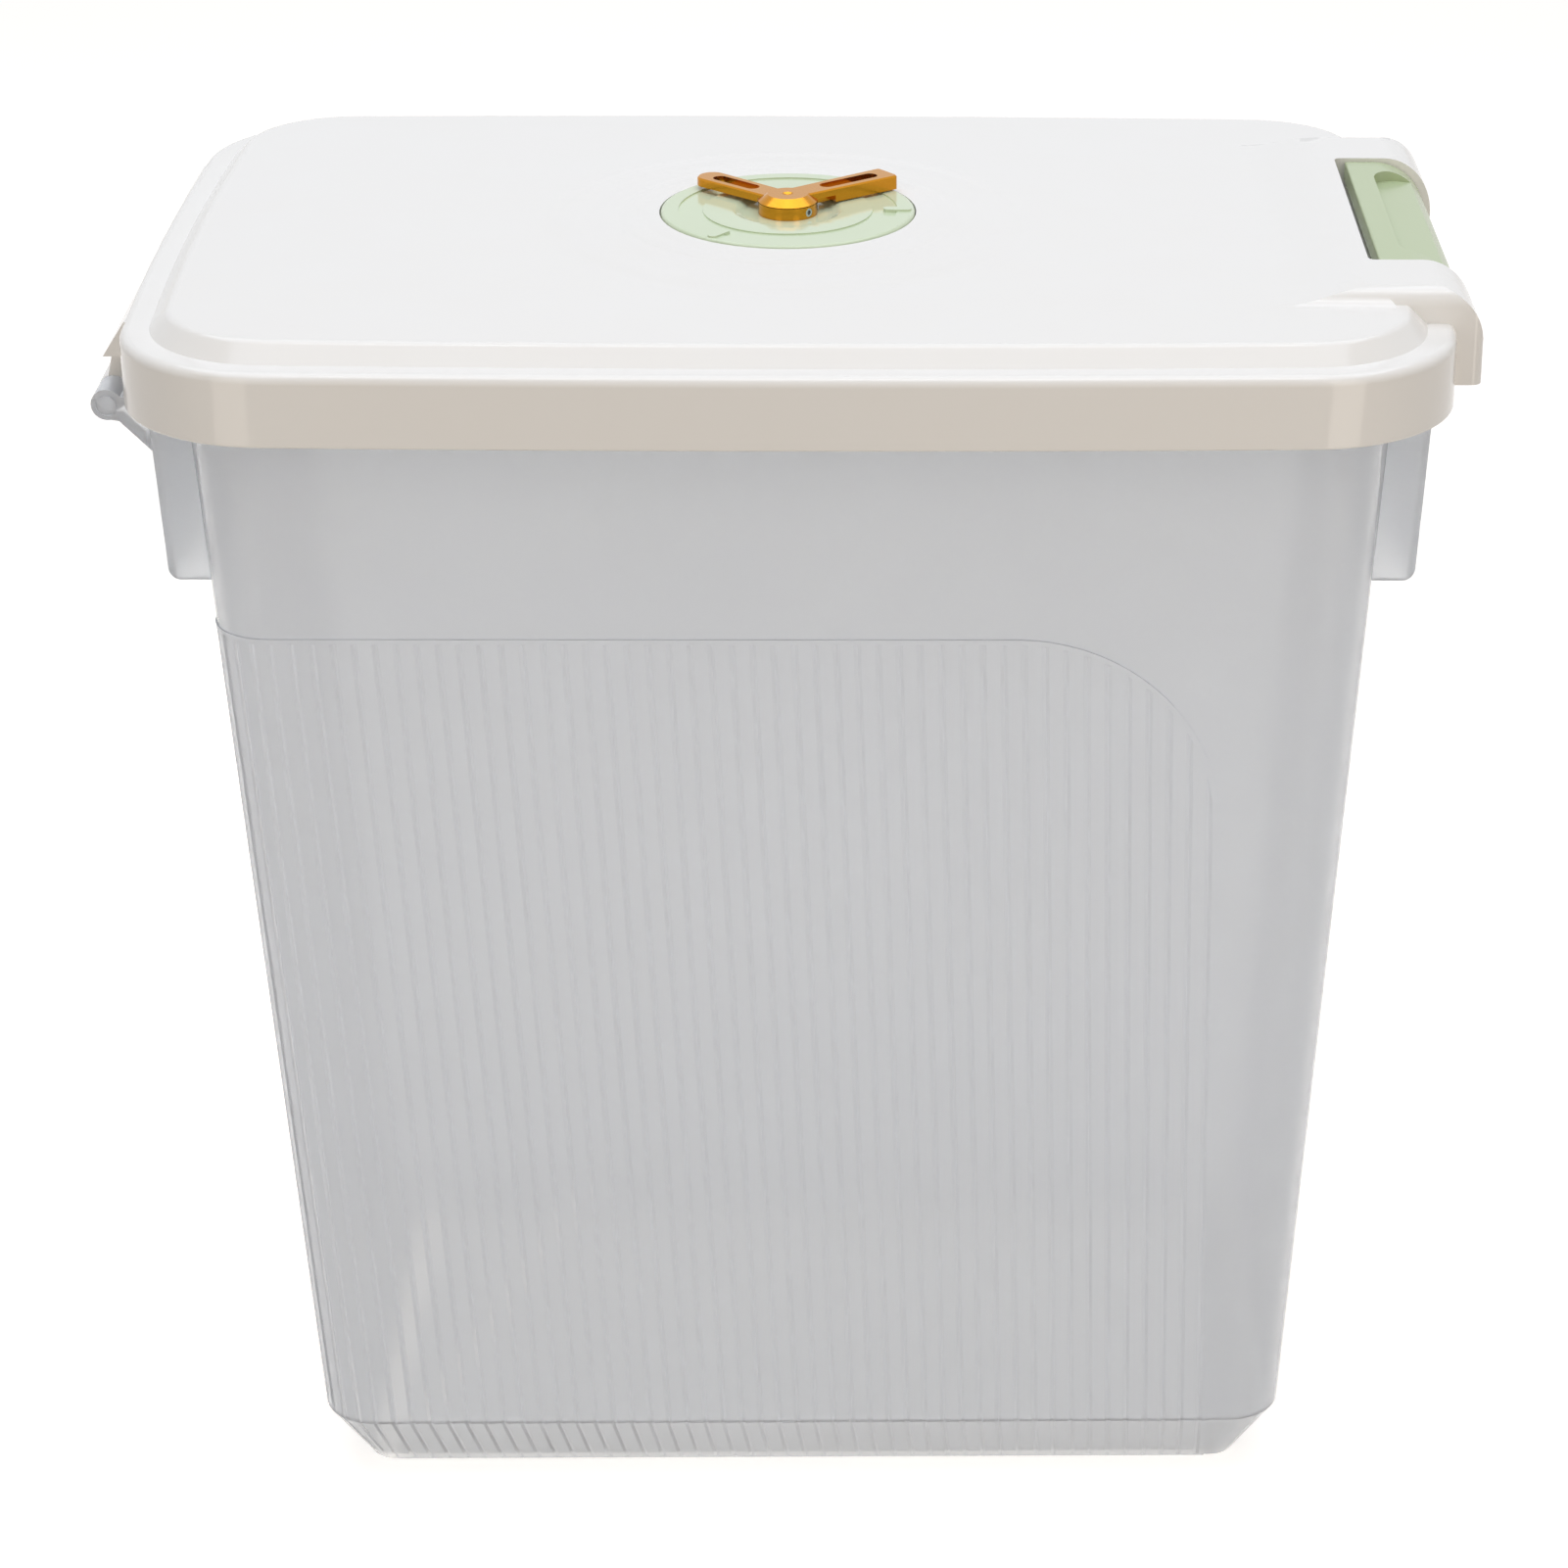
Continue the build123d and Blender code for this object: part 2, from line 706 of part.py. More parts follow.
with BuildPart() as housing_hollow:
    extrude(housing_profile(lid_wall, housing_bottom), amount=housing_half_width - lid_wall, both=True)
    with BuildSketch(Plane.YZ):
        with Locations((0, gasket_top)):
            Rectangle(
                2 * (housing_half_width - lid_wall),
                housing_z - lid_wall - gasket_top,
                align=(Align.CENTER, Align.MIN),
            )
        fillet(vertices().group_by(Axis.Y)[-1], housing_corner - lid_wall)
    extrude(amount=lid_length, mode=Mode.INTERSECT)
    with BuildSketch(Plane.XY.offset(gasket_top)):
        with Locations((housing_pocket_x, 0)):
            Rectangle(lid_depth, lid_depth, align=(Align.MIN, Align.CENTER))
    extrude(amount=skirt_depth, mode=Mode.SUBTRACT)
    add(window_walls.part, mode=Mode.SUBTRACT)
    # The housing stays solid over the seal's ribs.
    with BuildSketch(Plane.XY.offset(gasket_top)):
        RectangleRounded(
            mouth_length + 2 * seal_land_reach, mouth_depth + 2 * seal_land_reach, bin_corner + seal_land_reach
        )
        RectangleRounded(
            mouth_length - 2 * (bin_wall + seal_land_reach),
            mouth_depth - 2 * (bin_wall + seal_land_reach),
            bin_corner - bin_wall - seal_land_reach,
            mode=Mode.SUBTRACT,
        )
    extrude(amount=skirt_depth, mode=Mode.SUBTRACT)

with BuildPart() as nose_hollow:
    extrude(
        housing_profile(lid_wall, housing_bottom), amount=housing_half_width - lid_wall, both=True
    )
    with BuildSketch(Plane.XY.offset(housing_bottom)):
        with Locations((0, 0)):
            Rectangle(
                lid_length + 2 * housing_pocket_gap, lid_depth, align=(Align.CENTER, Align.CENTER)
            )
            Rectangle(lid_length + lid_depth, 2 * (window_half_width + lid_wall))
    extrude(amount=skirt_depth + housing_top + panel_rise, mode=Mode.SUBTRACT)

# The room inside the lid that the seal's ribs may fill: the skirt, and the panel inside its slope.
rib_room_inset = lid_wall / 4
with BuildPart() as rib_room:
    extrude(lid_plan(lid_wall, skirt_bottom), amount=skirt_depth)
    loft(
        [
            lid_plan(rim_width + rib_room_inset, rim_z),
            lid_plan(rim_width + panel_slope_run + rib_room_inset, panel_z),
        ]
    )

# Ribs that hold the seal: two that flank it and one behind it.
with BuildPart() as gasket_ribs:
    for outer_reach, inner_reach, foot_z in (
        (seal_land_reach, gasket_overlap + seal_fit, rib_bottom),
        (gasket_rib / 2 - bin_wall / 2, -gasket_rib / 2 - bin_wall / 2, gasket_top),
        (
            -bin_wall - gasket_overlap - seal_fit,
            -bin_wall - seal_land_reach,
            rib_bottom,
        ),
    ):
        with BuildSketch(Plane.XY.offset(foot_z)):
            RectangleRounded(
                mouth_length + 2 * outer_reach, mouth_depth + 2 * outer_reach, bin_corner + outer_reach
            )
            RectangleRounded(
                mouth_length + 2 * inner_reach,
                mouth_depth + 2 * inner_reach,
                bin_corner + inner_reach,
                mode=Mode.SUBTRACT,
            )
        extrude(amount=plate_bottom + gasket_rib_root - foot_z)
    add(rib_room.part, mode=Mode.INTERSECT)
    add(window_walls.part, mode=Mode.SUBTRACT)

with BuildPart() as lid_shell:
    add(lid_outer.part)
    extrude(lid_plan(lid_wall, skirt_bottom - 1), amount=skirt_depth - lid_wall + 1, mode=Mode.SUBTRACT)
    add(panel_hollow.part, mode=Mode.SUBTRACT)
    add(housing_hollow.part, mode=Mode.SUBTRACT)
    add(nose_hollow.part, mode=Mode.SUBTRACT)
    add(gasket_ribs.part)
    # Hinge hood, arms and knuckles.
    with BuildSketch(Plane.XZ):
        with BuildLine():
            Polyline(
                (hood_root_x, hood_top_z),
                (hood_top_x, hood_top_z),
                (hinge_x, hood_tip_z),
                (hood_root_x, hood_tip_z),
                close=True,
            )
        make_face()
    extrude(amount=hinge_half_width, both=True)
    for knuckle_y in (-lid_knuckle_centre, lid_knuckle_centre):
        with BuildSketch(Plane.XZ.offset(-knuckle_y)):
            with Locations((hinge_x, hinge_z)):
                Circle(knuckle_radius)
            with BuildLine():
                Polyline(
                    (-lid_length / 2, hood_tip_z),
                    (-lid_length / 2 - hinge_arm_thickness, hood_tip_z),
                    (hinge_x - knuckle_radius / 2, hinge_z),
                    (hinge_x + knuckle_radius, hinge_z),
                    (-lid_length / 2, skirt_bottom),
                    close=True,
                )
            make_face()
        extrude(amount=lid_knuckle_width / 2, both=True)
    with BuildSketch(Plane.XZ.offset(-hinge_half_width)):
        with Locations((hinge_x, hinge_z)):
            Circle(hinge_pin_radius + hinge_pin_clearance)
    extrude(amount=2 * hinge_half_width, mode=Mode.SUBTRACT)
    # Seat, hole and bayonet notches for the dial cap, and the ring that the drying cup fits in.
    with BuildSketch(Plane.XY.offset(boss_bottom)):
        with Locations((dial_x, 0)):
            Circle(cup_boss_inner + cup_boss_wall)
            Circle(cup_boss_inner, mode=Mode.SUBTRACT)
    extrude(amount=dial_seat - boss_bottom)
    with BuildSketch(Plane.XY.offset(dial_seat)):
        with Locations((dial_x, 0)):
            Circle(dial_radius + dial_side_clearance)
    extrude(amount=dial_thickness + dial_stand, mode=Mode.SUBTRACT)
    with BuildSketch(Plane.XY.offset(plate_bottom - 1)):
        with Locations((dial_x, 0)):
            Circle(cap_hole_radius)
    extrude(amount=lid_wall + 1, mode=Mode.SUBTRACT)
    for angle in cap_tab_angles:
        extrude(
            ring_sector(
                plate_bottom - 1,
                cap_hole_radius - 1,
                cap_hole_radius - cap_skirt_clearance + cap_tab_reach + cap_notch_clearance,
                angle + cap_notch_turn,
                cap_tab_span + 2 * cap_notch_play,
            ),
            amount=lid_wall + 1,
            mode=Mode.SUBTRACT,
        )
    # Opening in the skirt for the latch's hook.
    with BuildSketch(Plane.XY.offset(skirt_bottom - 1)):
        with Locations((lid_length / 2 - lid_corner, 0)):
            Rectangle(lid_corner + 1, 2 * (hook_half_width + hook_window_gap), align=(Align.MIN, Align.CENTER))
    extrude(amount=hook_window_top - skirt_bottom + 1, mode=Mode.SUBTRACT)
    # Blind holes in the cheeks for the latch pin.
    with BuildSketch(Plane.XZ.offset(-window_half_width - latch_pin_grip - latch_pin_clearance)):
        with Locations((lever_pivot_x, lever_pivot_z)):
            Circle(latch_pin_radius + latch_pin_clearance)
    extrude(amount=2 * (window_half_width + latch_pin_grip + latch_pin_clearance), mode=Mode.SUBTRACT)
keep(lid_shell, "lid_shell")

with BuildPart() as lid_gasket:
    with BuildSketch(Plane.XY.offset(gasket_top - gasket_thickness)):
        RectangleRounded(
            mouth_length + 2 * gasket_overlap, mouth_depth + 2 * gasket_overlap, bin_corner + gasket_overlap
        )
        RectangleRounded(
            mouth_length - 2 * (bin_wall + gasket_overlap),
            mouth_depth - 2 * (bin_wall + gasket_overlap),
            bin_corner - bin_wall - gasket_overlap,
            mode=Mode.SUBTRACT,
        )
    extrude(amount=gasket_thickness)
keep(lid_gasket, "lid_gasket")

# ---------------------------------------------------------------------------------------------
# Latch
# ---------------------------------------------------------------------------------------------

lever_left_x = window_left_x + lever_gap_left
lever_half_width = window_half_width - lever_side_gap


def lever_profile(inset, below):
    """Lever seen from the front, drawn in by inset at its top and sides and open to below its underside."""
    top_z = lever_top - inset
    with BuildSketch(Plane.XZ) as profile:
        with BuildLine():
            Line((lever_left_x + inset, top_z), (lever_nose_x, top_z))
            EllipticalCenterArc(
                (lever_nose_x, lever_nose_z),
                lever_outer_x - lever_nose_x - inset,
                top_z - lever_nose_z,
                start_angle=0,
                arc_size=90,
            )
            Polyline(
                (lever_outer_x - inset, lever_nose_z),
                (lever_outer_x - inset, lever_bottom),
                (lever_outer_x - inset - lever_wall, lever_bottom),
                (lever_outer_x - inset - lever_wall, rim_z - below),
                (lever_left_x + inset, lever_top - lever_left_drop - below),
                (lever_left_x + inset, top_z),
            )
        make_face()
    return profile.sketch


with BuildPart() as lever_hollow:
    extrude(lever_profile(lever_wall, lever_wall), amount=lever_half_width - lever_wall, both=True)

# Thumb tray, and the scoop that is cut into it.
with BuildPart() as thumb_tray:
    with BuildSketch(Plane.XZ):
        with BuildLine():
            Polyline(
                (thumb_left_x - lever_wall, lever_top),
                (thumb_left_x - lever_wall, lever_top - thumb_wall_drop - lever_wall),
                (lever_outer_x, lever_top - thumb_outer_drop - lever_wall),
                (lever_outer_x, lever_top),
                close=True,
            )
        make_face()
    extrude(amount=thumb_half_width + lever_wall, both=True)
    extrude(lever_profile(0, 0), amount=lever_half_width, both=True, mode=Mode.INTERSECT)

with BuildPart() as thumb_scoop:
    with BuildSketch(Plane.XZ):
        with BuildLine():
            Polyline(
                (thumb_left_x, lever_top + 1),
                (thumb_left_x, lever_top - thumb_wall_drop),
                (lever_outer_x, lever_top - thumb_outer_drop),
                (lever_outer_x, lever_top + 1),
                close=True,
            )
        make_face()
    extrude(amount=thumb_half_width, both=True)
    with BuildSketch(Plane.XY.offset(rim_z)):
        with Locations((thumb_left_x, 0)):
            Rectangle(lid_corner, 2 * thumb_half_width, align=(Align.MIN, Align.CENTER))
        fillet(vertices().group_by(Axis.X)[0], thumb_corner)
    extrude(amount=skirt_depth, mode=Mode.INTERSECT)

with BuildPart() as latch_button:
    extrude(lever_profile(0, 0), amount=lever_half_width, both=True)
    fillet(
        edges().group_by(Axis.Z)[-1].group_by(Axis.Y)[0]
        + edges().group_by(Axis.Z)[-1].group_by(Axis.Y)[-1]
        + edges().filter_by(Axis.Y).group_by(Axis.Z)[-1].sort_by(Axis.X)[0:1],
        lever_edge_radius,
    )
    add(lever_hollow.part, mode=Mode.SUBTRACT)
    add(thumb_tray.part)
    # Barrel for the pin.
    with BuildSketch(Plane.XZ):
        with Locations((lever_pivot_x, lever_pivot_z)):
            Circle(lever_barrel_radius)
    extrude(amount=lever_half_width - lever_wall / 2, both=True)
    # Hook, with a slope below that rides over the catch.
    with BuildSketch(Plane.XZ):
        with BuildLine():
            Polyline(
                (hook_tip_x, hook_top),
                (hook_tip_x, lever_bottom + hook_lead),
                (hook_tip_x + hook_lead, lever_bottom),
                (lever_outer_x, lever_bottom),
                (lever_outer_x, hook_top),
                close=True,
            )
        make_face()
    extrude(amount=hook_half_width, both=True)
    add(thumb_scoop.part, mode=Mode.SUBTRACT)
    with BuildSketch(Plane.XZ):
        with Locations((lever_pivot_x, lever_pivot_z)):
            Circle(latch_pin_radius + latch_pin_clearance)
    extrude(amount=window_half_width, both=True, mode=Mode.SUBTRACT)
keep(latch_button, "latch_button")

with BuildPart() as latch_pin:
    with BuildSketch(Plane.XZ):
        with Locations((lever_pivot_x, lever_pivot_z)):
            Circle(latch_pin_radius)
    extrude(amount=window_half_width + latch_pin_grip, both=True)
    chamfer(edges().filter_by(GeomType.CIRCLE), latch_pin_radius / 5)
keep(latch_pin, "latch_pin")

with BuildPart() as latch_springs:
    coil_bottom = rim_z + spring_seat_gap + spring_wire / 2
    coil_height = lever_top - lever_wall - spring_seat_gap - spring_wire / 2 - coil_bottom
    coil_pitch = coil_height / spring_turns
    for coil_y in (-spring_y, spring_y):
        with BuildLine(Plane((spring_x, coil_y, coil_bottom))) as coil:
            Helix(pitch=coil_pitch, height=coil_height, radius=spring_radius)
        with BuildSketch(Plane(origin=coil.line @ 0, z_dir=coil.line % 0)):
            Circle(spring_wire / 2)
        sweep(path=coil.line, is_frenet=True)
keep(latch_springs, "latch_springs")
print(f"latch spring gap between turns: {coil_pitch - spring_wire:.2f} mm")

# ---------------------------------------------------------------------------------------------
# Dial
# ---------------------------------------------------------------------------------------------

cap_skirt_radius = cap_hole_radius - cap_skirt_clearance

with BuildPart() as dial_cap:
    with BuildSketch(Plane.XY.offset(dial_under)):
        with Locations((dial_x, 0)):
            Circle(dial_radius)
    extrude(amount=dial_thickness)
    fillet(edges().sort_by(Axis.Z)[0], dial_edge_radius)
    fillet(edges().sort_by(Axis.Z)[-1], dial_shoulder_radius)
    # A shallow channel round the top, and a dish in its middle.
    with BuildSketch(Plane.XY.offset(dial_z)):
        with Locations((dial_x, 0)):
            Circle(dial_channel_outer_radius)
            Circle(dial_channel_inner_radius, mode=Mode.SUBTRACT)
    extrude(amount=-dial_channel_depth, mode=Mode.SUBTRACT)
    with BuildSketch(Plane.XZ):
        with BuildLine():
            Polyline(
                (dial_x, dial_z + 1),
                (dial_x + dial_dish_radius, dial_z + 1),
                (dial_x + dial_dish_radius, dial_z),
                (dial_x + dial_dish_radius - dial_dish_slope, dish_z),
                (dial_x, dish_z),
                close=True,
            )
        make_face()
    revolve(axis=Axis((dial_x, 0, 0), (0, 0, 1)), mode=Mode.SUBTRACT)
    for angle in dial_tick_angles:
        with BuildSketch(Plane.XY.offset(dial_z - dial_channel_depth)):
            tick_x = dial_x + dial_tick_centre * cos(radians(angle))
            tick_y = dial_tick_centre * sin(radians(angle))
            with Locations(Location((tick_x, tick_y, 0), (0, 0, angle))):
                SlotOverall(dial_tick_length, dial_tick_width)
        extrude(amount=dial_channel_depth + dial_tick_height)
    # Skirt with bayonet tabs, and a groove for the seal.
    with BuildSketch(Plane.XY.offset(cap_skirt_bottom)):
        with Locations((dial_x, 0)):
            Circle(cap_skirt_radius)
            Circle(cap_skirt_radius - cap_skirt_wall, mode=Mode.SUBTRACT)
    extrude(amount=dial_under - cap_skirt_bottom)
    for angle in cap_tab_angles:
        extrude(
            ring_sector(
                cap_skirt_bottom,
                cap_skirt_radius - cap_skirt_wall / 2,
                cap_skirt_radius + cap_tab_reach,
                angle,
                cap_tab_span,
            ),
            amount=cap_tab_height,
        )
    with BuildSketch(Plane.XY.offset(dial_under)):
        with Locations((dial_x, 0)):
            Circle(seal_ring_radius + seal_ring_width / 2 + seal_fit)
            Circle(seal_ring_radius - seal_ring_width / 2 - seal_fit, mode=Mode.SUBTRACT)
    extrude(amount=seal_groove_depth, mode=Mode.SUBTRACT)
    with BuildSketch(Plane.XY.offset(dial_under)):
        with Locations((dial_x, 0)):
            Circle(spindle_radius + spindle_clearance)
    extrude(amount=dial_thickness, mode=Mode.SUBTRACT)
keep(dial_cap, "dial_cap")

with BuildPart() as dial_seal:
    with BuildSketch(Plane.XY.offset(dial_seat + seal_ring_gap)):
        with Locations((dial_x, 0)):
            Circle(seal_ring_radius + seal_ring_width / 2)
            Circle(seal_ring_radius - seal_ring_width / 2, mode=Mode.SUBTRACT)
    extrude(amount=dial_under + seal_groove_depth - dial_seat - seal_ring_gap)
keep(dial_seal, "dial_seal")

collar_bottom = dish_z + stack_gap
grub_z = (collar_bottom + collar_top) / 2
grub_plane = Plane(
    origin=(dial_x, 0, grub_z),
    z_dir=(cos(radians(grub_angle)), sin(radians(grub_angle)), 0),
)

with BuildPart() as handle_collar:
    with BuildSketch(Plane.XY.offset(collar_bottom)):
        with Locations((dial_x, 0)):
            Circle(hub_radius)
            Circle(spindle_radius + spindle_clearance, mode=Mode.SUBTRACT)
    extrude(amount=collar_top - collar_bottom)
    with BuildSketch(grub_plane):
        Circle(grub_radius + spindle_clearance)
    extrude(amount=hub_radius + 1, mode=Mode.SUBTRACT)
keep(handle_collar, "handle_collar")

with BuildPart() as grub_screw:
    with BuildSketch(grub_plane.offset(spindle_radius + 2 * spindle_clearance)):
        Circle(grub_radius)
    extrude(amount=hub_radius - grub_sink - spindle_radius)
    with BuildSketch(grub_plane.offset(hub_radius)):
        RegularPolygon(radius=grub_socket_flats / 2, side_count=6, major_radius=False)
    extrude(amount=-grub_sink - grub_socket_depth, mode=Mode.SUBTRACT)
keep(grub_screw, "grub_screw")


def arm_part(angle, top_z, length, tip_width, tip_corner, thickness, relief, slot_outer_radius):
    """One arm of the handle: slotted, and cut to a thin web beside the collar."""
    with BuildPart() as arm:
        with BuildSketch(Plane.XY.offset(top_z)):
            with BuildLine():
                Polyline(
                    (0, -arm_root_width / 2),
                    (length, -tip_width / 2),
                    (length, tip_width / 2),
                    (0, arm_root_width / 2),
                    close=True,
                )
            make_face()
            fillet(vertices().group_by(Axis.X)[-1], tip_corner)
        extrude(amount=-thickness)
        chamfer(faces().sort_by(Axis.Z)[-1].edges(), arm_edge)
        with BuildSketch(Plane.XY.offset(hub_bottom)):
            Circle(relief)
            with Locations((hub_radius + arm_web_gap, 0)):
                Rectangle(length, arm_web_width, align=(Align.MIN, Align.CENTER), mode=Mode.SUBTRACT)
        extrude(amount=-thickness, mode=Mode.SUBTRACT)
        # The slot has a shallow shelf near the hub and goes right through beyond it.
        for core_radius, depth in ((0, slot_shelf_depth), (slot_shelf_radius, thickness)):
            with BuildSketch(Plane.XY.offset(top_z)):
                with Locations(((slot_inner_radius + slot_outer_radius) / 2, 0)):
                    SlotOverall(slot_outer_radius - slot_inner_radius, arm_root_width - 2 * slot_rail)
                if core_radius:
                    Circle(core_radius, mode=Mode.SUBTRACT)
            extrude(amount=-depth, mode=Mode.SUBTRACT)
    return Location((dial_x, 0, 0), (0, 0, angle)) * arm.part


dimple_ball_radius = (dimple_radius**2 + dimple_depth**2) / (2 * dimple_depth)

with BuildPart() as wing_handle:
    with BuildSketch(Plane.XZ):
        with BuildLine():
            Polyline(
                (dial_x, hub_bottom),
                (dial_x + hub_radius, hub_bottom),
                (dial_x + hub_radius, hub_bottom + hub_seam),
                (dial_x + hub_top_radius, handle_z),
                (dial_x, handle_z),
                close=True,
            )
        make_face()
    revolve(axis=Axis((dial_x, 0, 0), (0, 0, 1)))
    add(
        arm_part(
            right_arm_angle,
            handle_z,
            right_arm_length,
            right_arm_tip_width,
            right_arm_tip_corner,
            right_arm_thickness,
            right_arm_relief,
            right_slot_outer_radius,
        )
    )
    add(
        arm_part(
            left_arm_angle,
            handle_z - left_arm_drop,
            left_arm_length,
            left_arm_tip_width,
            left_arm_tip_corner,
            left_arm_thickness,
            left_arm_relief,
            left_slot_outer_radius,
        )
    )
    with Locations((dial_x, 0, handle_z + dimple_ball_radius - dimple_depth)):
        Sphere(dimple_ball_radius, mode=Mode.SUBTRACT)
    with BuildSketch(Plane.XY.offset(hub_bottom)):
        with Locations((dial_x, 0)):
            Circle(spindle_radius + spindle_clearance)
    extrude(amount=handle_z - spindle_top_cover - hub_bottom, mode=Mode.SUBTRACT)
keep(wing_handle, "wing_handle")

washer_top = dial_under - stack_gap
nut_top = washer_top - washer_thickness - stack_gap

with BuildPart() as dial_spindle:
    with BuildSketch(Plane.XY.offset(nut_top - nut_thickness - spindle_tail)):
        with Locations((dial_x, 0)):
            Circle(spindle_radius)
    extrude(amount=handle_z - spindle_top_cover - stack_gap - nut_top + nut_thickness + spindle_tail)
    chamfer(edges(), spindle_radius / 8)
keep(dial_spindle, "dial_spindle")

with BuildPart() as spindle_washer:
    with BuildSketch(Plane.XY.offset(washer_top - washer_thickness)):
        with Locations((dial_x, 0)):
            Circle(washer_radius)
            Circle(spindle_radius + spindle_clearance, mode=Mode.SUBTRACT)
    extrude(amount=washer_thickness)
keep(spindle_washer, "spindle_washer")

with BuildPart() as spindle_nut:
    with BuildSketch(Plane.XY.offset(nut_top - nut_thickness)):
        with Locations((dial_x, 0)):
            RegularPolygon(radius=nut_across_flats / 2, side_count=6, major_radius=False)
            Circle(spindle_radius + spindle_clearance, mode=Mode.SUBTRACT)
    extrude(amount=nut_thickness)
keep(spindle_nut, "spindle_nut")

# ---------------------------------------------------------------------------------------------
# Drying cup
# ---------------------------------------------------------------------------------------------

cup_radius = cup_boss_inner - cup_fit
cup_bottom = boss_bottom - cup_depth

with BuildPart() as drying_cup:
    with BuildSketch(Plane.XY.offset(cup_bottom)):
        with Locations((dial_x, 0)):
            Circle(cup_radius)
    extrude(amount=cup_depth + cup_insert)
    with BuildSketch(Plane.XY.offset(boss_bottom - cup_fit - cup_lip_height)):
        with Locations((dial_x, 0)):
            Circle(cup_boss_inner + cup_boss_wall)
    extrude(amount=cup_lip_height)
    with BuildSketch(Plane.XY.offset(cup_bottom + cup_wall)):
        with Locations((dial_x, 0)):
            Circle(cup_radius - cup_wall)
    extrude(amount=cup_depth + cup_insert, mode=Mode.SUBTRACT)
    with BuildSketch(Plane.XY.offset(cup_bottom)):
        with Locations((dial_x, 0)):
            with PolarLocations(cup_slot_centre, cup_slot_count):
                SlotOverall(cup_slot_length, cup_slot_width)
    extrude(amount=cup_wall, mode=Mode.SUBTRACT)
keep(drying_cup, "drying_cup")
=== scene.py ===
"""Looks of a rice bin with a hinged lid: clear reeded bin, ivory lid, green latch and dial, gold handle.

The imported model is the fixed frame. Every visible piece is a welded and smoothed copy of its solid, because
all forms of this object are hard and stand in the solids, and each has the material of the real thing.
"""

import json
import logging
import math
from dataclasses import dataclass
from enum import Enum

import bpy
from mathutils import Matrix, Vector

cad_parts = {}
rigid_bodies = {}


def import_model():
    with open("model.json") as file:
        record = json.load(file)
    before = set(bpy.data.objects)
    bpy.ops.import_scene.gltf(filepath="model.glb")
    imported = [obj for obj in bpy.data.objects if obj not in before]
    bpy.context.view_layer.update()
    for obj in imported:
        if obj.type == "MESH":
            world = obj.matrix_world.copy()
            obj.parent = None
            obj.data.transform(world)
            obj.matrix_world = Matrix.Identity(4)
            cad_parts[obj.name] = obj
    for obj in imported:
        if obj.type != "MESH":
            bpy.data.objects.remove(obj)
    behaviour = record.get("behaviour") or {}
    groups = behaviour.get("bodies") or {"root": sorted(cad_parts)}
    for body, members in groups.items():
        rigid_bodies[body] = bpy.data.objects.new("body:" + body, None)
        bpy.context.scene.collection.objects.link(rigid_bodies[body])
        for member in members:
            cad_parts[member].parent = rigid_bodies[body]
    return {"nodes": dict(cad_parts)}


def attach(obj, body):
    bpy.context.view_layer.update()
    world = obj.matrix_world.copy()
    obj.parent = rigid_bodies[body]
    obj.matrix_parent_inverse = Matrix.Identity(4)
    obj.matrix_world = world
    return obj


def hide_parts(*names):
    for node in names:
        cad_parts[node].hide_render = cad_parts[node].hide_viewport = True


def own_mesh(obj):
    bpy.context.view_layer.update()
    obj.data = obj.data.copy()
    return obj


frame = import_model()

log = logging.getLogger("rice_bin")
logging.basicConfig(level=logging.INFO, format="%(name)s: %(message)s")

MM = 0.001
PHOTO_PIXELS = 1601
SENSOR_MM = 36.0

# The sRGB curve: a straight foot, then a power.
SRGB_FOOT_END = 0.04045
SRGB_FOOT_SLOPE = 12.92
SRGB_OFFSET = 0.055
SRGB_POWER = 2.4
BYTE_MAX = 255.0

# Refractive index of polypropylene; that of ABS and silicone is close to it.
PLASTIC_IOR = 1.49

# Layers of detail in the noise that stands for flow marks, tool marks and mould grain.
MARK_DETAIL = 3.0
GRAIN_DETAIL = 2.0

# Solids come as loose triangles: points nearer than this are one.
WELD_MM = 0.002

PURE_WHITE = "FFFFFF"


class Body(str, Enum):
    """Moving bodies of the object."""

    BIN = "bin"
    LID = "lid"
    LATCH = "latch"
    DIAL = "dial"


class Slot(str, Enum):
    """Material slots of the record."""

    CLEAR = "clear_plastic"
    WHITE = "white_plastic"
    GREEN = "green_plastic"
    PALE_GREEN = "pale_green_plastic"
    GOLD = "gold"
    STEEL = "steel"
    SEAL = "seal_rubber"


# ------------------------------------------------------------------------------------------------
# Colour and node helpers
# ------------------------------------------------------------------------------------------------


def linear(hex_colour: str) -> tuple[float, float, float, float]:
    """Turn an sRGB hex colour into linear RGBA.

    Args:
        hex_colour: six hex digits, with or without a leading #.

    Returns:
        Linear red, green, blue and an alpha of 1.
    """
    digits = hex_colour.lstrip("#")
    channels = []
    for start in (0, 2, 4):
        value = int(digits[start : start + 2], 16) / BYTE_MAX
        if value <= SRGB_FOOT_END:
            channels.append(value / SRGB_FOOT_SLOPE)
        else:
            channels.append(((value + SRGB_OFFSET) / (1 + SRGB_OFFSET)) ** SRGB_POWER)
    return (channels[0], channels[1], channels[2], 1.0)


def add_node(
    tree: bpy.types.NodeTree,
    kind: str,
    links: dict[str | int, object] | None = None,
    **settings: object,
) -> bpy.types.Node:
    """Add a shader node with its settings and its incoming links.

    Args:
        tree: node tree that takes the node.
        kind: node type, such as ShaderNodeTexNoise.
        links: input name or index to a value or to an output socket.
        settings: attributes of the node itself.

    Returns:
        The new node.
    """
    node = tree.nodes.new(kind)
    for name, value in settings.items():
        setattr(node, name, value)
    for key, value in (links or {}).items():
        if isinstance(value, bpy.types.NodeSocket):
            tree.links.new(value, node.inputs[key])
        else:
            node.inputs[key].default_value = value
    return node


